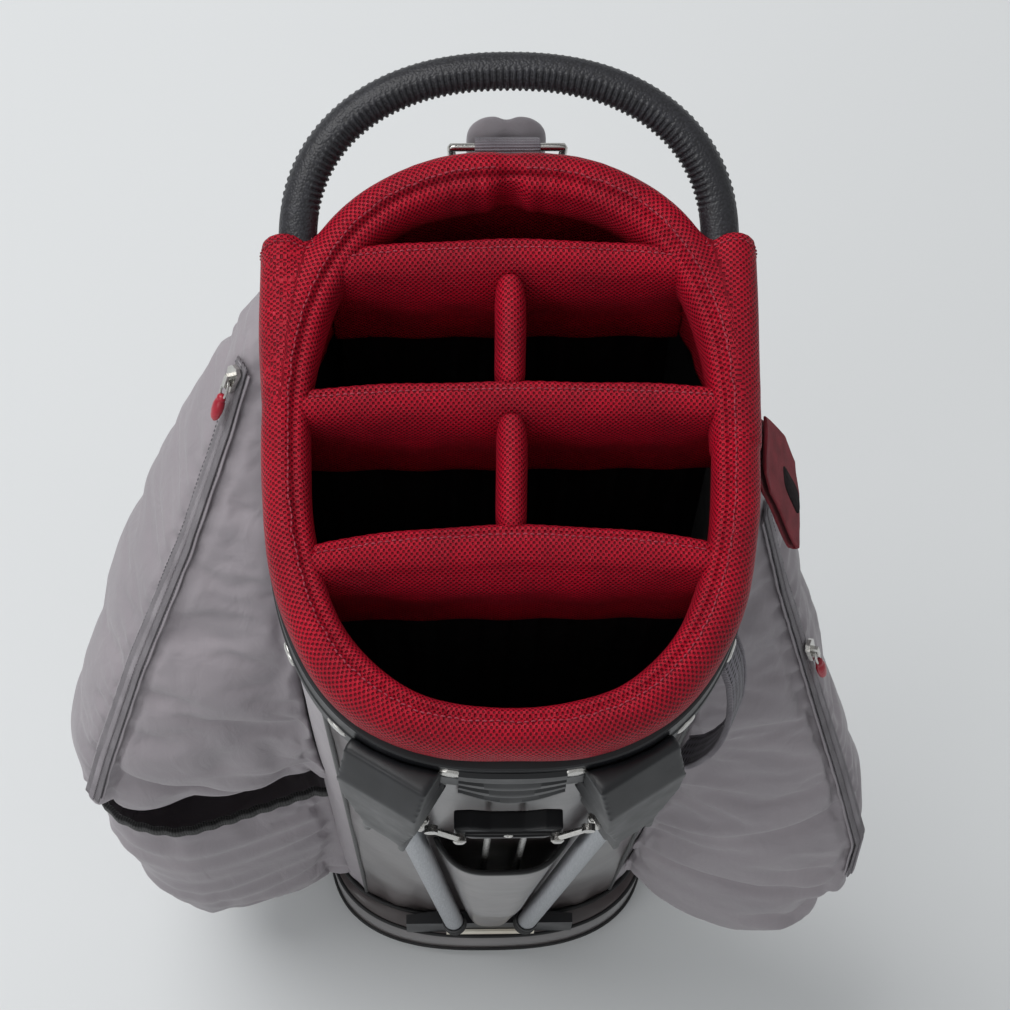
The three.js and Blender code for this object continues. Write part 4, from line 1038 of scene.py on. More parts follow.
    def cloths(self):
        """The black cloth below each bar, gathered where it is sewn on and nearly flat lower down."""
        for name in ("rear", "middle", "front", "rear_centre", "front_centre"):
            node = f"{name}_divider_sheet"
            low, high = BOX[node]
            centre = "centre" in name
            points = points_of(frame["nodes"][node].data)
            bottom = points[points[:, 2] < low.z + 1 * MM]
            crest = points[points[:, 2] > high.z - (45 if centre else 1) * MM]
            axis = 1 if centre else 0
            count = int((crest[:, axis].max() - crest[:, axis].min()) / (1.6 * MM))
            t = np.linspace(0, 1, count)
            rows = []
            for share in np.linspace(0, 1, 60):
                reach = [np.interp(share, [0, 1], [edge(bottom[:, axis]), edge(crest[:, axis])])
                         for edge in (np.min, np.max)]
                along = reach[0] + (reach[1] - reach[0]) * t
                other = np.interp(share, [0, 1], [bottom[:, 1 - axis].mean(), crest[:, 1 - axis].mean()])
                fold = 1.1 * MM * share ** 3 + 0.3 * MM
                wave = fold * (np.sin(along * tau / (19 * MM) + 1.3 * share + np.sin(along * 61))
                               + 0.6 * np.sin(along * tau / (8.3 * MM) + 0.7 + 2 * np.sin(along * 43)))
                top_z = np.interp(along, [crest[:, 1].min(), crest[:, 1].max()],
                                  [crest[:, 2].min(), crest[:, 2].max()]) if centre else high.z
                z = low.z + (top_z + 14 * MM - low.z) * share
                rows.append(xyz(other + wave, along, z * np.ones_like(along)) if centre
                            else xyz(along, other + wave, z * np.ones_like(along)))
            piece = surface(f"{name}_divider_cloth", rows)
            thicken(piece, 0.6 * MM)
            give(piece, "lining", replaces=[node])


# ---------- handle ----------
class BAG_OT_handle(bpy.types.Operator):
    """Rubber carry handle: a smooth grained band over the top and finger ribs round the inside"""
    bl_idname = "bag.handle"
    bl_label = "Carry handle"

    def execute(self, context):
        sizes = context.scene.bag_handle
        low, high = BOX["handle_grip"]
        radius = 9.9 * MM
        start = low.y / math.cos(SLOPE)
        half = high.x - radius + 0.5 * MM
        depth = (high.y - radius) / math.cos(SLOPE) - start - 7.6 * MM
        turn = np.linspace(0, pi, 2400)
        power = 2 / 2.25
        out = depth * np.sin(turn) ** power
        c = np.cos(turn)
        arch = rim_point(half * np.sign(c) * np.abs(c) ** power, start + 10 * MM + out, -2 * MM + 0.16 * out)
        straight = rim_point(half, np.linspace(start - 2 * MM, start + 9.5 * MM, 20), -2 * MM)
        path = resampled(np.concatenate([straight, arch, straight[::-1] * (-1, 1, 1)]), 0.42 * MM)
        far = lengths(path)
        tangent = unit(np.gradient(path, axis=0))
        side = unit(np.cross(tangent, (0, 0, 1)))
        lift = np.cross(side, tangent)
        angle = tau * np.arange(56) / 56
        # side looks to the outside of the arch; the smooth band covers the top and the upper outside
        middle, band = radians(66), radians(52)
        away = np.abs(np.mod(angle - middle + pi, tau) - pi)
        ribbed_part = 1 / (1 + np.exp(-(away - band) / radians(3)))
        from_end = np.minimum(far, far[-1] - far)
        fade = np.clip((from_end - 26 * MM) / (10 * MM), 0, 1)
        phase = np.mod(far / sizes.rib, 1)
        rib = np.clip((0.62 + 0.9 * np.cos(phase * tau)), 0, 1)
        step = ribbed_part[None] * fade[:, None]
        lip = np.exp(-((away - band) / radians(5)) ** 2)[None] * fade[:, None]
        size = radius - 1.2 * MM + 0.5 * MM * (1 - step) + 0.35 * MM * lip
        size = size + sizes.rib_depth * rib[:, None] * step + 0.35 * MM * (1 - fade)[:, None]
        points = path[:, None] + size[..., None] * (
            side[:, None] * np.cos(angle)[None, :, None] + lift[:, None] * np.sin(angle)[None, :, None])
        grip = surface("handle_grip_cover", points, False, True, True)
        give(grip, "grip", replaces=["handle_grip"])
        return {"FINISHED"}


# ---------- body ----------
class BAG_OT_body(bpy.types.Operator):
    """Four fabric panels with black lining, the piping between them and the cover over the push rods"""
    bl_idname = "bag.body"
    bl_label = "Fabric body"

    def execute(self, context):
        spans = {
            "front_panel": (-pi + FRONT_CORNER, -FRONT_CORNER, "coated"),
            "right_panel": (-FRONT_CORNER, BACK_CORNER, "nylon"),
            "back_panel": (BACK_CORNER, pi - BACK_CORNER, "nylon"),
            "left_panel": (pi - BACK_CORNER, pi + FRONT_CORNER, "nylon"),
        }
        for name, (start, stop, material) in spans.items():
            self.panel(name, start, stop, material)
            corner = body_point(np.full(90, start), np.linspace(0.0, 0.995, 90), 0.6 * MM)
            cord(f"{name}_piping", corner, (3 * MM, 3 * MM, 2, 12), (math.cos(start), math.sin(start), 0.05),
                 "piping")
        self.rod_cover()
        return {"FINISHED"}

    def panel(self, name, start, stop, material):
        """One panel: an outer face, and an inner face in black lining, closed round the edge."""
        angles = even_angles(FOOT, 90, start + 0.004, stop - 0.004, closed=False)
        shares = np.concatenate([np.linspace(0, 1, 110), [1.0]])
        loops = []
        for k, share in enumerate(shares):
            def level(grow, share=share, k=k):
                if k == len(shares) - 1:
                    return rim_point(*oval(angles, RIM, PANEL_GROW + grow), -29 * MM)
                return body_point(angles, share, grow)
            wave = 0.0
            if share < 1:
                x = angles * 10
                wave = 0.8 * MM * math.exp(-((share - 0.04) / 0.07) ** 2) * np.sin(x * 2.3)
                wave = wave + 0.5 * MM * np.sin(x * 0.9 + share * 9) * np.sin(share * 17)
            face = level(0.0) + (wave * np.array([np.cos(angles), np.sin(angles), 0 * angles])).T
            loops.append(np.concatenate([face, level(-PANEL_WALL)[::-1]]))
        piece = surface(f"{name}_cloth", loops, False, True, True, 50)
        give(piece, [material, "lining"], replaces=[name])
        centre = np.array([p.center[:2] for p in piece.data.polygons])
        normal = np.array([p.normal[:2] for p in piece.data.polygons])
        inside = (centre * normal).sum(1) < 0
        piece.data.polygons.foreach_set("material_index", inside.astype(np.int32))

    def rod_cover(self):
        """The fabric spine over the push rods, open and bound along its top edge."""
        low, high = BOX["rod_cover"]
        half_top = high.x
        u = np.linspace(-1, 1, 61)
        rows = []
        heights = np.linspace(low.z, high.z, 80)
        for z in heights:
            half = np.interp(z, [low.z, high.z], [16.5 * MM, half_top])
            dip = 6 * MM * np.clip((z - 0.4) / (high.z - 0.4), 0, 1)
            lift = np.interp(z, [low.z, low.z + 0.14], [10.5 * MM, 17.5 * MM])
            y = front_y(u * half, np.full_like(u, z)) - 2.6 * MM - lift * (1 - u ** 4)
            y = y + 0.4 * MM * np.sin(z * 38 + u * 2) * (1 - u ** 2)
            rows.append(xyz(u * half, y, z - dip * (1 - u * u)))
        cover = surface("rod_cover_cloth", rows)
        thicken(cover, 1.6 * MM)
        give(cover, "coated", replaces=["rod_cover"])
        edge = resampled(rows[-1] + np.array([0, 0, 0.8 * MM]), 2 * MM)
        cord("rod_cover_binding", edge, (3.2 * MM, 5 * MM, 3, 14), (0, 0, 1), "piping")
        for name, column in (("left", 0), ("right", -1)):
            line = np.array(rows)[:, column]
            cord(f"rod_cover_{name}_welt", line, (2.6 * MM, 2.6 * MM, 2, 10), (0, -1, 0), "piping")


# ---------- base ----------
class BAG_OT_base(bpy.types.Operator):
    """Moulded base in coated cloth with its piping, the sole and the ledge's fittings"""
    bl_idname = "bag.base"
    bl_label = "Base"

    def execute(self, context):
        self.shell()
        angles = even_angles(BASE, 240)
        rings = {
            "base_piping_low": (BASE, 0.2 * MM, 12.5 * MM, 3.6 * MM, "rubber"),
            "base_piping_top": (BASE, -0.9 * MM, BASE_HIGH.z - 3.2 * MM, 3.4 * MM, "piping"),
            "body_foot_piping": (FOOT, 1.8 * MM, PANEL_LOW + 1.7 * MM, 3.4 * MM, "piping"),
        }
        for name, (outline, grow, z, size, material) in rings.items():
            x, y = oval(angles, outline, grow)
            rise = TOE_SLOPE * np.clip(TOE_HINGE - 6 * MM - y, 0, 1) if name == "base_piping_low" else 0 * y
            cord(name, xyz(x, y, z + rise), (size, size, 2.2, 14), (0, 0, 1), material, closed=True)
        for node in ("sole_pad", "foot_plate"):
            carry(node, "rubber", 0.6 * MM)
        carry("foot_hinge_pin", "nickel")
        carry("leg_rest", "plastic", 0.9 * MM)
        carry("label_plate", "ivory", 0.5 * MM)
        carry("back_stay", "plastic")
        return {"FINISHED"}

    def underside(self, y):
        """Height of the underside: level behind the hinge and rising in front of it."""
        return np.where(y < TOE_HINGE, BASE_LOW.z + (TOE_HINGE - y) * TOE_SLOPE, BASE_LOW.z)

    def shell(self):
        """The base as one closed shell from the middle of its underside round to the floor inside."""
        angles = even_angles(BASE, 240)
        rows = []
        for share in (0.0, 0.25, 0.5, 0.75, 0.93, 1.0):
            x, y = oval(angles, BASE, -3 * MM)
            x, y = x * share, y * share
            rows.append(xyz(x, y, self.underside(y)))
        for z, grow in ((10, -0.4), (14, 0), (26, 0.25), (44, 0.25), (58, 0), (62.5, -0.7), (65.3, -2.2),
                        (66, -4)):
            x, y = oval(angles, BASE, grow * MM)
            foot = self.underside(y) - BASE_LOW.z
            rows.append(xyz(x, y, z * MM + foot * np.clip((40 - z) / 40, 0, 1)))
        for z, grow in ((66, -3), (22, -6)):
            rows.append(np.stack([*oval(angles, FOOT, grow * MM), np.full(240, z * MM)], -1))
        x, y = oval(angles, FOOT, -6 * MM)
        rows.append(xyz(x * 0, y * 0, 22 * MM))
        shell = surface("base_shell", rows, False, True, False, 40)
        give(shell, "coated", replaces=["base_cup"])


def carry(node, material, bevel=0.0):
    """Keeps a CAD node and gives it its finish, with eased edges where it is moulded."""
    piece = frame["nodes"][node]
    piece.data.materials.clear()
    piece.data.materials.append(FINISHES[material])
    shade(piece, 32)
    box_map(piece)
    if bevel:
        flat = piece.modifiers.new("flat", "DECIMATE")
        flat.decimate_type, flat.angle_limit = "DISSOLVE", radians(2)
        ease = piece.modifiers.new("ease", "BEVEL")
        ease.width, ease.segments, ease.limit_method = bevel, 2, "ANGLE"
        ease.angle_limit = radians(32)
        ease.harden_normals = True


# ---------- collar, legs and linkage ----------
class BAG_OT_fittings(bpy.types.Operator):
    """Plastic collar with its stepped front and rivets, leg mounts, folding legs and their linkage"""
    bl_idname = "bag.fittings"
    bl_label = "Collar, legs and linkage"

    def execute(self, context):
        self.collar()
        for side in ("left", "right"):
            body = f"{side}_leg"
            self.moulding(f"{side}_leg_mount", 1.5 * MM, 5, BAG)
            self.moulding(f"{side}_leg_head", 1.1 * MM, 3, body)
            self.pin(side)
            self.leg(side, body)
            carry(f"{side}_link_arm", "nickel")
            self.rod(f"{side}_push_rod", f"{side}_push_rod_turned", "nickel", "slider", 0.5 * MM)
        self.moulding("link_slider", 0.9 * MM, 3, "slider")
        self.slider_details()
        for name in ("rear", "middle", "front", "rear_centre", "front_centre"):
            carry(f"{name}_bar", "plastic")
        carry("handle_core", "plastic")
        return {"FINISHED"}

    def moulding(self, node, cell, smooth, body):
        """A moulded part with the soft corners of its mould."""
        piece = copy_of(node, f"{node}_moulding")
        remesh(piece, cell, smooth)
        shade(piece, 60)
        box_map(piece)
        give(piece, "plastic", body, [node])

    def collar(self):
        """The collar in fine steps, the stepped and ribbed dip between the leg mounts, and the rivets."""
        angles = even_angles(RIM, 300)
        section = [(-2, -4), (2, -4), (2, -24.3), (11.2, -24.3), (12, -25.2), (12, -40), (12.7, -41),
                   (12.7, -43), (12, -44), (12, -57.2), (11.2, -58), (9, -58), (9, -28), (2, -28), (2, -60),
                   (-2, -60)]
        rows = np.stack([rim_point(*oval(angles, RIM, out * MM), up * MM) for out, up in section], 1)
        give(surface("collar_band", rows, True, True, False, 30), "plastic",
             replaces=["collar_frame"])
        u = np.linspace(-1, 1, 121)
        half = 27 * MM
        p = u * half
        q = np.array([oval_front(x) for x in p])
        steps = [(-30, 12.2, 0), (-31, 14.4, 0), (-37, 14.6, 0.12), (-38, 13.4, 0.16), (-41, 13.4, 0.24),
                 (-42, 14.8, 0.3), (-45, 14.8, 0.42), (-46, 13.6, 0.46), (-49, 13.6, 0.56), (-50, 15, 0.62),
                 (-53, 15, 0.74), (-54, 13.8, 0.78), (-57, 13.8, 0.9), (-58.5, 15.2, 0.95), (-60.5, 15, 1),
                 (-61, 12.4, 1)]
        dip = 17 * MM * (1 - u * u) ** 1.4
        rows = [rim_point(p, q - (out - 0.3) * MM, up * MM - dip * k) for up, out, k in steps]
        trim = surface("collar_front_trim", rows, False, False, False, 30)
        thicken(trim, 1.2 * MM, 35)
        give(trim, "plastic")
        spots = {"front": (radians(-80.5), -33), "corner": (radians(-50), -45),
                 "side": (radians(-28), -52), "rear_side": (radians(24), -46),
                 "rear": (radians(62), -46)}
        for name, (angle, up) in spots.items():
            for side, turn in (("right", angle), ("left", pi - angle)):
                grow = 12.2 * MM
                x, y = oval(np.array([turn, turn + 0.02]), RIM, grow)
                place = rim_point(x, y, up * MM)
                along = unit(place[1] - place[0])
                outward = unit(np.cross(along, (0, 0, 1)))
                outward = outward * np.sign(outward[:2] @ place[0][:2])
                dome = [(0, 1.7), (2.4, 1.6), (3.6, 1.1), (4.1, 0.3), (4.1, -1.2), (0, -1.2)]
                rivet = turned(f"{side}_{name}_rivet", place[0], outward, np.array(dome) * MM, 32, (1.6, 1.0),
                               along)
                give(rivet, "nickel")

    def pin(self, side):
        """The nickel pin that a leg turns on, with domed heads."""
        node = f"{side}_leg_pin"
        joint = next(j for j in frame["joints"] if j["name"] == f"{side}_leg_swing")
        middle, axis = np.array(joint["pos_m"]), unit(np.array(joint["axis"], float))
        profile = [(0, -17.6), (2.5, -17.4), (4.3, -16.7), (5, -15.8), (5, -14.2), (2.9, -14.2), (2.9, 14.2),
                   (5, 14.2), (5, 15.8), (4.3, 16.7), (2.5, 17.4), (0, 17.6)]
        give(turned(f"{side}_leg_pin_turned", middle, axis, np.array(profile) * MM), "nickel",
             replaces=[node])

    def rod(self, node, name, material, body, ease, sides=48):
        """A straight rod or tube in fine steps in place of a CAD one; returns its start and direction."""
        start, axis, length, radius = own_axis(node)
        profile = [(radius - ease, 0), (radius, ease), (radius, length - ease), (radius - ease, length)]
        give(turned(name, start, axis, profile, sides), material, body, [node])
        return start, axis

    def leg(self, side, body):
        """A leg's tube and its ribbed rubber foot."""
        start, axis = self.rod(f"{side}_leg_tube", f"{side}_leg_tube_drawn", "aluminium", body, 0.6 * MM, 64)
        profile = [(0, -13), (4.5, -12.4), (7.2, -10), (8.3, -6.5), (8.6, -4), (8.6, -1), (8.1, -0.4),
                   (8.1, 0.6), (8.6, 1.2), (8.6, 4), (8.1, 4.6), (8.1, 5.6), (8.5, 6.2), (8.5, 9), (8, 9.6),
                   (8, 10.6), (8.4, 11.2), (8.2, 16), (7.8, 18), (7.35, 18), (7.35, -0.35), (0, -0.35)]
        give(turned(f"{side}_leg_boot", start, axis, np.array(profile) * MM, 56), "rubber", body,
             [f"{side}_leg_foot"])

    def slider_details(self):
        """The slider's recessed band and its screw."""
        low, high = BOX["link_slider"]
        middle = (low + high) / 2
        u = np.linspace(-1, 1, 41)
        across = u * (high.x - 6 * MM)
        sag = 1.6 * MM * (1 - u * u)
        steps = [(-4.2, -1), (-4.0, 1.0), (-2.6, 1.2), (-2.2, 0.35), (2.2, 0.35), (2.6, 1.2), (4.0, 1.0),
                 (4.2, -1)]
        centre = middle.z + 2.5 * MM
        rows = [xyz(across, low.y - out * MM, centre + up * MM * (1 - 0.45 * u ** 4) - sag)
                for up, out in steps]
        band = surface("link_slider_band", rows, False, True, True, 35)
        give(band, "rubber", "slider")
        head = [(0, 0.5), (0.5, 0.5), (0.9, 1.2), (1.9, 1.35), (2.5, 0.9), (2.6, -0.6), (0, -0.6)]
        screw = turned("link_slider_screw", (0, low.y - 0.4 * MM, middle.z + 1 * MM), (0, -1, 0),
                       np.array(head) * MM, 24)
        give(screw, "nickel", "slider")
        for side, sign in (("left", -1), ("right", 1)):
            clip = [(0, 1.0), (2.4, 0.9), (3.2, 0.2), (3.2, -0.8), (0, -0.8)]
            start, axis, length, _ = own_axis(f"{side}_push_rod")
            top = start + axis * (length - 5 * MM)
            ferrule = [(2.1, -3), (3.6, -3), (3.9, -2.4), (3.9, 1.6), (3.6, 2.2), (2.1, 2.2)]
            piece = turned(f"{side}_push_rod_ferrule", top - axis * 4 * MM, axis, np.array(ferrule) * MM, 28)
            give(piece, "nickel", "slider")
            low_eye = np.array([sign * 26 * MM, low.y - 4.6 * MM, low.z + 13 * MM])
            give(turned(f"{side}_link_clip", low_eye, (0, -1, 0), np.array(clip) * MM, 24), "nickel",
                 f"{side}_arm")


def oval_front(p):
    """How far forward the roll's middle line is at a distance p from the middle."""
    return RIM[1] * (1 - (abs(p) / RIM[0]) ** FRONT_POWER) ** (1 / FRONT_POWER) * -1


# ---------- pockets ----------
def zip_line(node):
    """A zip's middle line up its pocket, the way across it and the way out of it."""
    middle, across = [], []
    for points in stations(node):
        if len(points) < 4:
            continue
        centre = points.mean(0)
        gap = points - centre
        longest = np.linalg.svd(gap[:, :2])[2][0]
        middle.append(centre)
        across.append([longest[0], longest[1], 0])
    middle, across = np.array(middle), np.array(across)
    side = np.sign(middle[0, 0])
    across *= np.sign(across[:, 1:2])
    out = xyz(across[:, 1], -across[:, 0], 0 * across[:, 0]) * side
    out *= np.sign(out[:, :1] * side)
    fine = resampled(middle, 2 * MM)
    far, fine_far = lengths(middle), lengths(fine)
    spots = fine_far * far[-1] / fine_far[-1]
    return fine, unit(between(spots, far, across)), unit(between(spots, far, out))


def distance_to(points, line):
    """Distance from each point to the nearest point of a line."""
    best = np.full(len(points), 1e9)
    for spot in line:
        best = np.minimum(best, np.linalg.norm(points - spot, axis=1))
    return best


class BAG_OT_pockets(bpy.types.Operator):
    """Zipped apparel and ball pockets and the open elastic-topped pocket, settled as slack cloth"""
    bl_idname = "bag.pockets"
    bl_label = "Pockets"

    def execute(self, context):
        sizes = context.scene.bag_pockets
        for name, side, seed in (("apparel_pocket", -1, 3), ("ball_pocket", 1, 8)):
            self.zipped(name, side, sizes, seed)
        self.open_pocket(sizes)
        return {"FINISHED"}

    def zipped(self, name, side, sizes, seed):
        """A filled pocket: the CAD shape remeshed, given slack and settled, then creased."""
        pocket = copy_of(name, f"{name}_cloth")
        remesh(pocket, sizes.voxel, 6)
        points, normals = points_of(pocket.data), normals_of(pocket.data)
        if side < 0:
            # the lower front corner is drawn back and up towards the body
            ahead = np.clip(-points[:, 1] / (80 * MM), 0, 1)
            under = np.clip((0.5 - points[:, 2]) / 0.178, 0, 1) ** 1.5
            inward = 0.3 + 0.7 * np.clip((points[:, 0] + 0.26) / 0.12, 0, 1)
            points = points + (ahead * under * inward)[:, None] * np.array([0, 34 * MM, 52 * MM])
            set_points(pocket.data, points)
        wall = side_x(points[:, 1], points[:, 2], 3.5 * MM)
        against = np.abs(points[:, 0]) < wall
        line, _, _ = zip_line(f"{name}_zip_tape")
        near_zip = distance_to(points, line) < 9 * MM
        free = ~(against | near_zip)
        low, high = BOX[name]
        drop = np.clip((points[:, 2] - low.z) / (high.z - low.z), 0, 1)
        spin = np.arctan2(points[:, 1] - (low.y + high.y) / 2, np.abs(points[:, 0]) - 0.1)
        gathers = np.exp(-(drop / 0.14) ** 2) * np.sin(spin * (11 if side > 0 else 9) + seed)
        rng = np.random.default_rng(seed)
        start = points - normals * 3.5 * MM * free[:, None]
        start += normals * (2.2 * MM * gathers * free)[:, None]
        for _ in range(13):
            spot = points[rng.integers(len(points))]
            way = unit(rng.normal(size=3))
            bump = np.exp(-(((points - spot) @ way) / (9 * MM)) ** 2
                          - (np.linalg.norm(points - spot, axis=1) / (90 * MM)) ** 2)
            start -= normals * (5 * MM * bump * free)[:, None]
        set_points(pocket.data, start)
        simulate(pocket, 1.6, ~free, sizes.swell, slack=sizes.slack, bending=0.08, steps=24)
        refine(pocket)
        self.crease(pocket, name)
        box_map(pocket)
        give(pocket, "nylon", replaces=[name])

    def crease(self, pocket, name):
        """The seam beside the zip, and its puckers."""
        points, normals = points_of(pocket.data), normals_of(pocket.data)
        line, across, _ = zip_line(f"{name}_zip_tape")
        away = distance_to(points, line + across * 12 * MM)
        groove = np.exp(-(away / (2.6 * MM)) ** 2)
        pucker = np.exp(-(away / (16 * MM)) ** 2) * np.sin(points[:, 2] * tau / (13 * MM))
        wall = side_x(points[:, 1], points[:, 2], 3.5 * MM)
        clear = np.clip((np.abs(points[:, 0]) - wall) / (6 * MM), 0, 1)
        move = -1.6 * MM * groove + 0.7 * MM * pucker
        set_points(pocket.data, points + normals * (move * clear)[:, None])

    def open_pocket(self, sizes):
        """The open pocket: one wall of cloth from the body's front round to its back, and a closed bottom."""
        node = "lower_pocket"
        low, high = BOX[node]
        tree = BVHTree.FromObject(frame["nodes"][node], bpy.context.evaluated_depsgraph_get())
        levels = np.concatenate([np.linspace(low.z + 1 * MM, low.z + 20 * MM, 7),
                                 np.linspace(low.z + 26 * MM, high.z - 1 * MM, 44)])
        rows = []
        for z in levels:
            y_mid = (low.y + high.y) / 2
            root = -(float(side_x(np.array([y_mid]), np.array([z]))[0]) + 4 * MM)
            row = []
            for angle in np.linspace(radians(-88), radians(88), 84):
                way = np.array([-math.cos(angle), math.sin(angle), 0])
                hit = tree.ray_cast(Vector((root, y_mid, z)) + Vector(way) * 0.4, Vector(-way))[0]
                row.append(np.array(hit) if hit else np.array([root, y_mid, z]) + way * 0.06)
            rows.append(row)
        rows = np.array(rows)
        inward = np.clip((rows[..., 0] + 0.21) / 0.11, 0, 1)
        ahead = np.clip(-rows[..., 1] / (75 * MM), 0, 1)
        under = np.clip((0.17 - rows[..., 2]) / 0.118, 0, 1)
        drawn = inward * ahead
        rows = rows + xyz(0 * drawn, 34 * MM * drawn, 45 * MM * drawn * under)
        for column in (0, -1):
            # the cloth is sewn to the wall beside each end of the mouth
            root = rows[:, column].copy()
            root[:, 0] = -side_x(root[:, 1], root[:, 2]) + 1 * MM
            half_way = (root + rows[:, column]) / 2
            joins = np.stack([root, half_way] if column == 0 else [half_way, root], 1)
            rows = np.concatenate([joins, rows] if column == 0 else [rows, joins], 1)
        centre = rows[0].mean(0)
        dip = np.array([0, 0, 1.5 * MM])
        closing = [centre + (rows[0] - centre) * k - dip * (1 - k) for k in (0.02, 0.4, 0.8)]
        rows = np.concatenate([closing, rows])
        piece = surface("lower_pocket_cloth", rows)
        points = points_of(piece.data)
        top = points[:, 2] > high.z - 9 * MM
        wall = np.abs(points[:, 0]) < side_x(points[:, 1], points[:, 2], 6 * MM)
        base = points[:, 2] < low.z + 0.5 * MM
        simulate(piece, 1.2, top | wall | base, sizes.swell * 0.8, slack=0.06, bending=0.05, steps=24)
        points, normals = points_of(piece.data), normals_of(piece.data)
        free = np.clip((high.z - 4 * MM - points[:, 2]) / (20 * MM), 0, 1) * ~wall
        z = points[:, 2]
        y = points[:, 1]
        fold = np.sin(z * tau / (31 * MM) + 5 * np.sin(y * 25)) * np.sin(y * 48 + z * 30)
        set_points(piece.data, points + normals * (1.8 * MM * fold * free)[:, None])
        thick = piece.modifiers.new("thick", "SOLIDIFY")
        thick.thickness, thick.offset = 1.4 * MM, -1
        refine(piece)
        box_map(piece)
        give(piece, "nylon", replaces=[node])
        mouth = resampled(rows[-1] + np.array([0, 0, -4 * MM]), 2 * MM)
        far = lengths(mouth)
        ripple = 0.5 * MM * np.sin(far * tau / (13 * MM))
        out = np.cross(unit(np.gradient(mouth, axis=0)), (0, 0, 1))
        out *= np.sign((out * (mouth - centre)).sum(-1, keepdims=True))
        cord("lower_pocket_elastic", mouth + out * (0.9 * MM + ripple)[:, None], (4.6 * MM, 14 * MM, 3.5, 18),
             (0, 0, 1), "elastic")


# ---------- zips ----------
class BAG_OT_zips(bpy.types.Operator):
    """Zip tapes, coils, cloth flaps, sliders and pulls of the two zipped pockets"""
    bl_idname = "bag.zips"
    bl_label = "Zips"

    def execute(self, context):
        for name, prefix in (("apparel_pocket", "apparel"), ("ball_pocket", "ball")):
            line, across, out = (rows[15:-2] for rows in zip_line(f"{name}_zip_tape"))
            cord(f"{name}_tape", line - out * 0.2 * MM, (12.5 * MM, 1.3 * MM, 5, 16), out, "zip_tape",
                 replaces=[f"{name}_zip_tape"])
            self.coil(name, line, across, out)
            for side, sign in (("front", -1), ("back", 1)):
                beside = line + across * sign * 4.9 * MM
                laid, _ = nearest(bpy.data.objects[f"{name}_cloth"], beside, 0.8 * MM)
                soft = np.ones(9) / 9
                edge = np.stack([np.convolve(np.pad(row, 4, "edge"), soft, "valid") for row in laid.T], -1)
                far = lengths(edge)
                wander = 0.25 * MM * np.sin(far * tau / (31 * MM) + sign)
                cord(f"{name}_zip_{side}_flap", edge + across * wander[:, None], (7.4 * MM, 1.6 * MM, 3, 16),
                     out, "nylon")
                seam = edge + across * sign * 2.2 * MM + out * 0.9 * MM
                stitches(f"{name}_zip_{side}_stitches", seam, out, "grey_thread", 3.2 * MM,
                         2.4 * MM, 0.6 * MM)
            carry(f"{name}_zip_slider", "nickel", 0.35 * MM)
            self.pull(name, prefix)
        return {"FINISHED"}

    def coil(self, name, line, across, out):
        """The interlocked coil: a tooth every 1.6 mm, leaning to each side in turn."""
        far = lengths(line)
        spots = np.arange(0, far[-1], 1.6 * MM)
        at = between(spots, far, line)
        over, up = (unit(between(spots, far, rows)) for rows in (across, out))
        along = unit(np.gradient(at, axis=0))
        section = rounded(1.15 * MM, 1.15 * MM, 2, 6)
        verts, faces = [], []
        for k, spot in enumerate(at):
            sign = 1 if k % 2 else -1
            for t in (-1, -0.6, 0.6, 1):
                size = 0.55 if abs(t) == 1 else 1
                middle = spot + up[k] * (0.9 * MM) + over[k] * (t * 2.1 + sign * 0.3) * MM
                for a, b in section:
                    verts.append(middle + along[k] * a * size + up[k] * b * size)
            base = k * 24
            for ring in range(3):
                for j in range(6):
                    low, follow = base + ring * 6, (j + 1) % 6
                    faces.append((low + j, low + follow, low + 6 + follow, low + 6 + j))
            faces += [tuple(range(base, base + 6)), tuple(range(base + 18, base + 24))]
        give(new_piece(f"{name}_zip_coil", verts, faces), "zip_teeth")

    def pull(self, name, prefix):
        """A pull: a bent steel link on the slider and a red moulded bead."""
        node, body = f"{name}_zip_pull", f"{prefix}_pull"
        joint = next(j for j in frame["joints"] if j["name"] == f"{prefix}_pull_swing")
        points = points_of(frame["nodes"][node].data)
        pivot = np.array(joint["pos_m"])
        hinge = unit(np.array(joint["axis"], float))
        way = points.mean(0) - pivot
        way = unit(way - hinge * (way @ hinge))
        length = ((points - pivot) @ way).max()
        turn = tau * np.arange(60) / 60
        reach = 0.46 * length
        down, over = reach / 2 * (1 - np.cos(turn)), 2.4 * MM * np.sin(turn)
        loop = pivot + np.outer(down, way) + np.outer(over, hinge)
        cord(f"{name}_pull_link", loop, (1.5 * MM, 1.5 * MM, 2, 10), np.cross(way, hinge), "nickel", body,
             closed=True)
        bead_length = length - reach + 3 * MM
        profile = np.array([(0, 0), (1.8, 0.2), (2.6, 1), (2.9, 2.2), (2.5, 3), (3.2, 3.8), (3.7, 6),
                            (3.6, 9), (3.0, 12), (2.2, 13.6), (1.0, 14.6), (0, 14.9)]) * MM
        profile[:, 1] *= bead_length / profile[-1, 1]
        neck = pivot + way * (reach - 3 * MM)
        bead = turned(f"{name}_pull_bead", neck, way, profile, 36, (1.0, 0.8), hinge, 60)
        give(bead, "red_pull", body, [node])


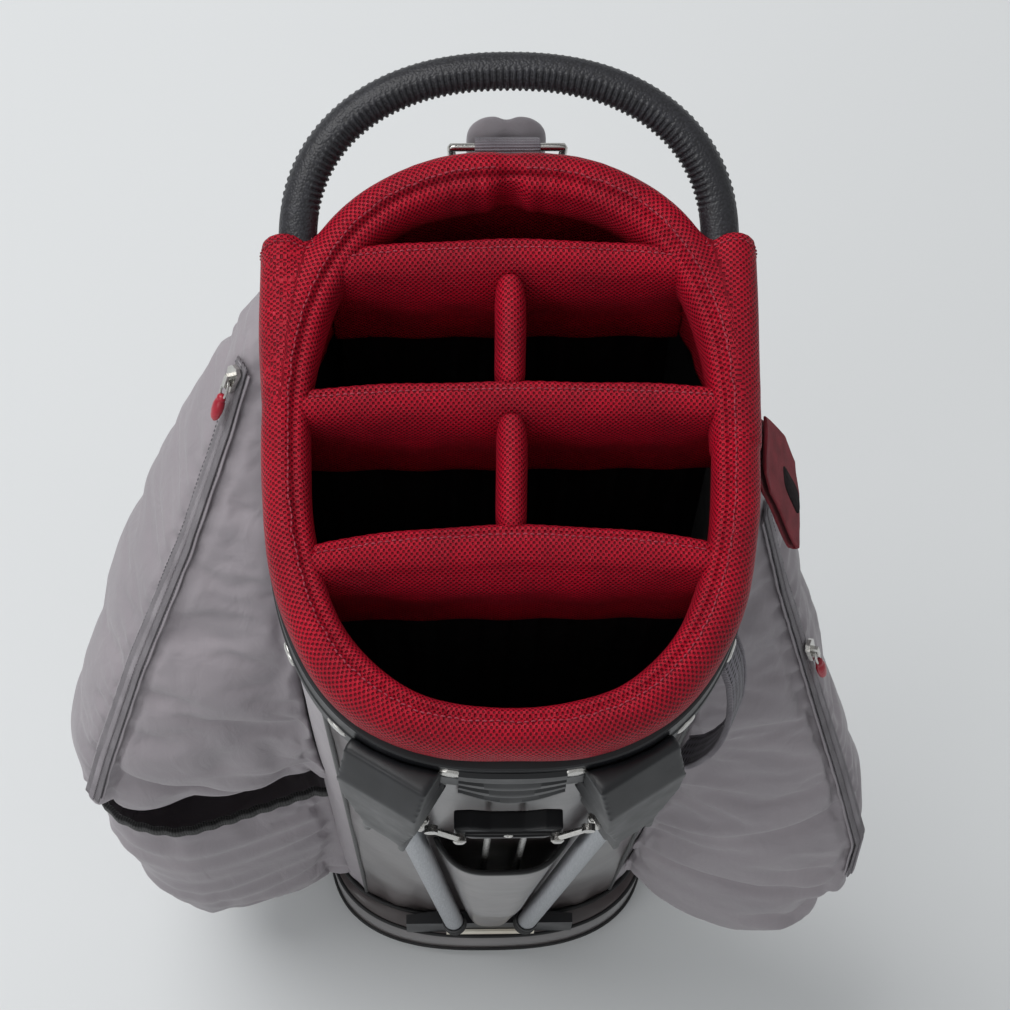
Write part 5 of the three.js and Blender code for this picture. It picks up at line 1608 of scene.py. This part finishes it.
# ---------- strap, ring and small soft parts ----------
class BAG_OT_strap(bpy.types.Operator):
    """Ring at the back with its webbing tab, and the padded shoulder strap with its lower webbing"""
    bl_idname = "bag.strap"
    bl_label = "Strap and ring"

    def execute(self, context):
        low, high = BOX["strap_ring"]
        radius = 2.1 * MM
        y = (low.y + high.y) / 2
        half, top, drop = high.x - radius, high.z - radius, high.z - low.z - 2 * radius
        turn = np.linspace(0, pi, 160)
        c = np.cos(turn)
        curve = xyz(half * np.sign(c) * np.abs(c) ** 0.62, y, top - drop * np.sin(turn) ** 0.62)
        bar = xyz(np.linspace(-half + 1.5 * MM, half - 1.5 * MM, 40), y, top)
        path = resampled(np.concatenate([curve, bar]), 1.0 * MM)
        cord("strap_ring_wire", path[:-1], (2 * radius, 2 * radius, 2, 20), (0, 1, 0), "nickel", "ring",
             ["strap_ring"], closed=True)
        self.tab(y, top)
        self.strap()
        return {"FINISHED"}

    def tab(self, ring_y, ring_z):
        """The webbing tab: up from the collar, over the ring's bar and down again, sewn across."""
        low = BOX["strap_ring_tab"][0]
        reach = 4.4 * MM
        turn = np.linspace(radians(250), radians(-90), 40)
        over = np.stack([ring_y + reach * np.cos(turn), ring_z + reach * np.sin(turn)], -1)
        down = np.array([[low.y + 2.2 * MM, low.z + 2 * MM], [low.y + 2.4 * MM, low.z + 14 * MM],
                         [low.y + 3.6 * MM, ring_z - 13 * MM], [ring_y - 6.0 * MM, ring_z - 6 * MM]])
        flat = np.concatenate([down, over[4:]])
        path = resampled(xyz(0, flat[:, 0], flat[:, 1]), 1.2 * MM)
        outward = np.cross(np.gradient(path, axis=0), (1, 0, 0))
        tab = cord("strap_ring_webbing", path, (33 * MM, 1.5 * MM, 6, 28), outward, "webbing",
                   replaces=["strap_ring_tab"])
        across = np.linspace(-14, 14, 30) * MM
        for k, height in enumerate((-9.5, -12.5)):
            line = xyz(across, ring_y - 6 * MM, ring_z + height * MM)
            at, normal = nearest(tab, line, 0.1 * MM)
            stitches(f"strap_ring_stitches_{k}", at, normal, "grey_thread", 3 * MM, 2.3 * MM, 0.6 * MM)

    def strap(self):
        """The padded strap in two lobes with a sewn channel, then flat webbing to a slide and the base."""
        low, high = BOX["shoulder_strap"]
        z = np.linspace(high.z - 1 * MM, low.z + 1 * MM, 110)
        share = (z - low.z) / (high.z - low.z)
        back = body_point(np.full(110, pi / 2), (z - PANEL_LOW) / BACK_HEIGHT)[:, 1]
        path_y = np.minimum(back + (12 + 17 * share) * MM, high.y - 10.2 * MM)
        end = np.minimum(np.minimum(z - low.z, high.z - z) / (16 * MM), 1)
        full = 0.35 + 0.65 * (1 - (1 - end) ** 2.2) ** (1 / 2.2)
        turn = tau * (np.arange(44) + 0.5) / 44
        c, s = np.cos(turn), np.sin(turn)
        x = 20.5 * MM * np.sign(c) * np.abs(c) ** 0.8
        lobe = 0.38 + 0.62 * np.sqrt(np.abs(np.sin(np.clip(np.abs(x) / (20.5 * MM), 0, 1) * pi * 0.75)))
        thick = 9.2 * MM * np.sign(s) * np.abs(s) ** 0.8 * lobe
        rows = [xyz(x * f, y + thick * f, h) for h, y, f in zip(z, path_y, full, strict=True)]
        strap = surface("shoulder_strap_pad", rows, False, True, True)
        rest = points_of(strap.data)
        simulate(strap, 2.5, np.abs(rest[:, 0]) < 1.5 * MM, 1.6 * MM, bending=0.6, steps=10)
        refine(strap)
        give(strap, "nylon", replaces=["shoulder_strap"])
        for face, sign in (("back", 1), ("front", -1)):
            line = xyz(0, path_y[5:105] + sign * 20 * MM, z[5:105])
            at, normal = nearest(strap, line, 0.1 * MM)
            stitches(f"shoulder_strap_{face}_stitches", at, normal, "grey_thread", 3.6 * MM,
                     2.6 * MM, 0.7 * MM)
        loop_z = np.linspace(high.z - 6 * MM, high.z - 22 * MM, 12)
        ring_low = BOX["strap_ring"][0]
        ring_y = (ring_low.y + BOX["strap_ring"][1].y) / 2
        turn = np.linspace(radians(-20), radians(235), 40)
        loop = xyz(0, ring_y + 7.4 * MM * np.cos(turn), ring_low.z + 2 * MM + 4.6 * MM * np.sin(turn))
        tail = xyz(0, np.linspace(ring_y + 7 * MM, path_y[8], 12), loop_z - 6 * MM)
        way = resampled(np.concatenate([tail[::-1], loop]), 1.2 * MM)
        cord("shoulder_strap_loop", way, (26 * MM, 1.5 * MM, 6, 24),
             np.cross(np.gradient(way, axis=0), (1, 0, 0)), "webbing")
        self.webbing(low, path_y[-1])

    def webbing(self, low, start_y):
        """The flat webbing below the pad, its ladder slide and the end sewn in at the base."""
        z = np.linspace(low.z + 12 * MM, PANEL_LOW + 3 * MM, 120)
        wall = body_point(np.full(120, pi / 2), (z - PANEL_LOW) / BACK_HEIGHT)[:, 1]
        blend = np.clip((low.z + 12 * MM - z) / (60 * MM), 0, 1)
        lift = 3.2 * MM + 3.5 * MM * np.exp(-((z - SLIDE_HEIGHT) / (16 * MM)) ** 2)
        y = start_y * (1 - blend) + (wall + lift) * blend
        path = xyz(0, y, z)
        cord("shoulder_strap_webbing", path, (30 * MM, 1.5 * MM, 6, 28), (0, 1, 0), "webbing")
        slide = np.array([0, float(np.interp(SLIDE_HEIGHT, z[::-1], y[::-1])), SLIDE_HEIGHT])
        bars = {
            "rung_0": ((-19, 2.2, -11), (19, 2.2, -11), 3.4, 3.4),
            "rung_1": ((-19, 1.4, 0), (19, 1.4, 0), 3.4, 3.4),
            "rung_2": ((-19, 2.2, 11), (19, 2.2, 11), 3.4, 3.4),
            "left_rail": ((-19, 2, -12.5), (-19, 2, 12.5), 4.4, 4),
            "right_rail": ((19, 2, -12.5), (19, 2, 12.5), 4.4, 4),
        }
        for name, (start, stop, width, height) in bars.items():
            ends = slide + np.array([start, stop]) * MM
            cord(f"strap_slide_{name}", resampled(ends, 2 * MM), (width * MM, height * MM, 2.6, 14),
                 (0, 1, 0), "plastic")


class BAG_OT_tabs(bpy.types.Operator):
    """Mesh grab handle at the right front corner and the felt loop on the right"""
    bl_idname = "bag.tabs"
    bl_label = "Grab handle and felt loop"

    def execute(self, context):
        self.grab_handle()
        self.felt_loop()
        return {"FINISHED"}

    def grab_handle(self):
        """A padded strip of spacer mesh with bound edges."""
        middle, across, out = zip_line("side_handle")
        cord("side_handle_strip", middle, (20 * MM, 3.2 * MM, 3.4, 28), out, "spacer",
             replaces=["side_handle"])
        for name, sign in (("front", -1), ("back", 1)):
            edge = middle + across * sign * 10.4 * MM
            cord(f"side_handle_{name}_binding", edge, (1.8 * MM, 3.6 * MM, 2.4, 14), out, "webbing")

    def felt_loop(self):
        """A strip of felt folded over at the bottom, with a plain dark patch on its outer face."""
        low, high = BOX["towel_tab"]
        levels = [row for row in stations("towel_tab") if len(row) >= 4]
        centre = np.array([row.mean(0) for row in levels])
        half = np.array([np.ptp(row[:, 1]) / 2 for row in levels])
        z = np.linspace(low.z + 3 * MM, high.z, 50)
        x = np.interp(z, centre[:, 2], centre[:, 0])
        y = np.interp(z, centre[:, 2], centre[:, 1])
        wide = np.interp(z, centre[:, 2], half)
        outer = xyz(x + 1.9 * MM, y, z)[::-1]
        inner = xyz(x - 1.9 * MM, y, z)
        turn = np.linspace(0, pi, 14)[1:-1]
        fold = xyz(x[0] + 1.9 * MM * np.cos(turn), y[0], z[0] - 1.9 * MM * np.sin(turn))
        path = np.concatenate([outer, fold, inner])
        width = np.concatenate([wide[::-1], np.full(12, wide[0]), wide])
        flat = rounded(2.0, 1.9 * MM, 5, 28)
        thick = np.broadcast_to(flat[:, 1], (len(path), 28))
        section = np.stack([flat[None, :, 0] * width[:, None], thick], -1)
        tangent = unit(np.gradient(path, axis=0))
        up = np.cross((0, 1, 0), tangent)
        loop = sweep("towel_loop", path, section, up)
        wobble = points_of(loop.data)
        wobble[:, 0] += 0.7 * MM * np.sin(wobble[:, 1] * 150 + wobble[:, 2] * 60)
        set_points(loop.data, wobble)
        give(loop, "felt", replaces=["towel_tab"])
        turn = tau * np.arange(40) / 40
        c, s = np.cos(turn), np.sin(turn)
        spot_z = (low.z + high.z) / 2 - 12 * MM + 13 * MM * np.sign(s) * np.abs(s) ** 0.6
        spot_y = np.interp(spot_z, z, y) + 8.5 * MM * np.sign(c) * np.abs(c) ** 0.6
        rings = []
        for scale, lift in ((1, 1.5), (1, 3.2), (0.94, 3.5), (0.0, 3.5)):
            ring_z = spot_z.mean() + (spot_z - spot_z.mean()) * scale
            ring_y = spot_y.mean() + (spot_y - spot_y.mean()) * scale
            rings.append(xyz(np.interp(ring_z, z, x) + lift * MM, ring_y, ring_z))
        patch = surface("towel_loop_patch", rings, False, True, False)
        edge = points_of(patch.data)
        edge[:, 0] += 0.7 * MM * np.sin(edge[:, 1] * 150 + edge[:, 2] * 60)
        set_points(patch.data, edge)
        give(patch, "dark_print")


# ---------- stage ----------
class BAG_OT_stage(bpy.types.Operator):
    """Pale floor, soft studio light and the camera"""
    bl_idname = "bag.stage"
    bl_label = "Stage"

    def execute(self, context):
        sizes = context.scene.bag_stage
        e, a, r = sizes.elevation, sizes.azimuth, sizes.roll
        look = np.array([-math.sin(a) * math.cos(e), math.cos(a) * math.cos(e), -math.sin(e)])
        right = np.array([math.cos(a), math.sin(a), 0.0])
        up = np.cross(right, look)
        turned_right = math.cos(r) * right + math.sin(r) * up
        turned_up = -math.sin(r) * right + math.cos(r) * up
        camera = bpy.data.objects.new("camera", bpy.data.cameras.new("camera"))
        context.scene.collection.objects.link(camera)
        columns = np.stack([turned_right, turned_up, -look], 1)
        camera.matrix_world = Matrix([[*columns[k], sizes.place[k]] for k in range(3)] + [[0, 0, 0, 1]])
        camera.data.lens = sizes.lens
        camera.data.sensor_width = 36
        context.scene.camera = camera
        self.floor(context)
        self.lights(context)
        return {"FINISHED"}

    def floor(self, context):
        """One large matt sheet, a little uneven in tone as seamless paper is."""
        made, tree, shader = finish("seamless_paper", 0.9, Specular_IOR_Level=0.1)
        tone = blotch(tree, linear("#dee0e1"), linear("#dcdedf"), 1.2)
        dress(tree, shader, tone)
        size = 14.0
        grid = [[(x, y, -0.4 * MM) for y in (-size, size)] for x in (-size, size)]
        sheet = surface("floor", grid)
        sheet.data.materials.append(made)
        if sheet.data.polygons[0].normal.z < 0:
            sheet.data.flip_normals()

    def lights(self, context):
        """A large softbox overhead, a fill from the front left and an even pale surrounding."""
        world = bpy.data.worlds.new("studio")
        world.use_nodes = True
        context.scene.world = world
        background = world.node_tree.nodes["Background"]
        background.inputs["Color"].default_value = linear("#e3e5e6")
        background.inputs["Strength"].default_value = 0.56
        for name, place, size, power in (
            ("softbox", (-1.8, 1.2, 4.4), 3.4, 140),
            ("fill", (-2.4, -2.1, 2.3), 2.0, 20),
        ):
            light = bpy.data.objects.new(name, bpy.data.lights.new(name, "AREA"))
            context.scene.collection.objects.link(light)
            light.data.shape = "DISK"
            light.data.size, light.data.energy = size, power
            light.location = place
            aim = Vector((0, 0, 0.5)) - Vector(place)
            light.rotation_euler = aim.to_track_quat("-Z", "Y").to_euler()
        context.scene.view_settings.view_transform = "Standard"


class BAG_PT_panel(bpy.types.Panel):
    """Lists the bag's pieces and their settings"""
    bl_idname = "BAG_PT_panel"
    bl_label = "Golf bag"
    bl_space_type = "VIEW_3D"
    bl_region_type = "UI"
    bl_category = "Golf bag"

    def draw(self, context):
        for operator in OPERATORS:
            self.layout.operator(operator.bl_idname)
        for name in SETTINGS:
            group = getattr(context.scene, name)
            self.layout.label(text=name.replace("_", " "))
            for key in group.__annotations__:
                self.layout.prop(group, key)


OPERATORS = (BAG_OT_stage, BAG_OT_rim, BAG_OT_dividers, BAG_OT_handle, BAG_OT_body, BAG_OT_base,
             BAG_OT_fittings, BAG_OT_pockets, BAG_OT_zips, BAG_OT_strap, BAG_OT_tabs)
SETTINGS = {"bag_colours": BagColours, "bag_rim": BagRim, "bag_dividers": BagDividers,
            "bag_handle": BagHandle, "bag_pockets": BagPockets, "bag_stage": BagStage}


def register():
    """Adds the settings, the operators and the panel."""
    for name, group in SETTINGS.items():
        bpy.utils.register_class(group)
        setattr(bpy.types.Scene, name, PointerProperty(type=group))
    for made in (*OPERATORS, BAG_PT_panel):
        bpy.utils.register_class(made)


def unregister():
    """Takes them away again."""
    for made in (BAG_PT_panel, *reversed(OPERATORS)):
        bpy.utils.unregister_class(made)
    for name, group in SETTINGS.items():
        delattr(bpy.types.Scene, name)
        bpy.utils.unregister_class(group)


def main():
    """Builds the bag piece by piece."""
    register()
    FINISHES.update(make_finishes(bpy.context.scene.bag_colours))
    for operator in OPERATORS:
        group, name = operator.bl_idname.split(".")
        getattr(getattr(bpy.ops, group), name)()
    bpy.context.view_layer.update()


if __name__ == "__main__":
    main()
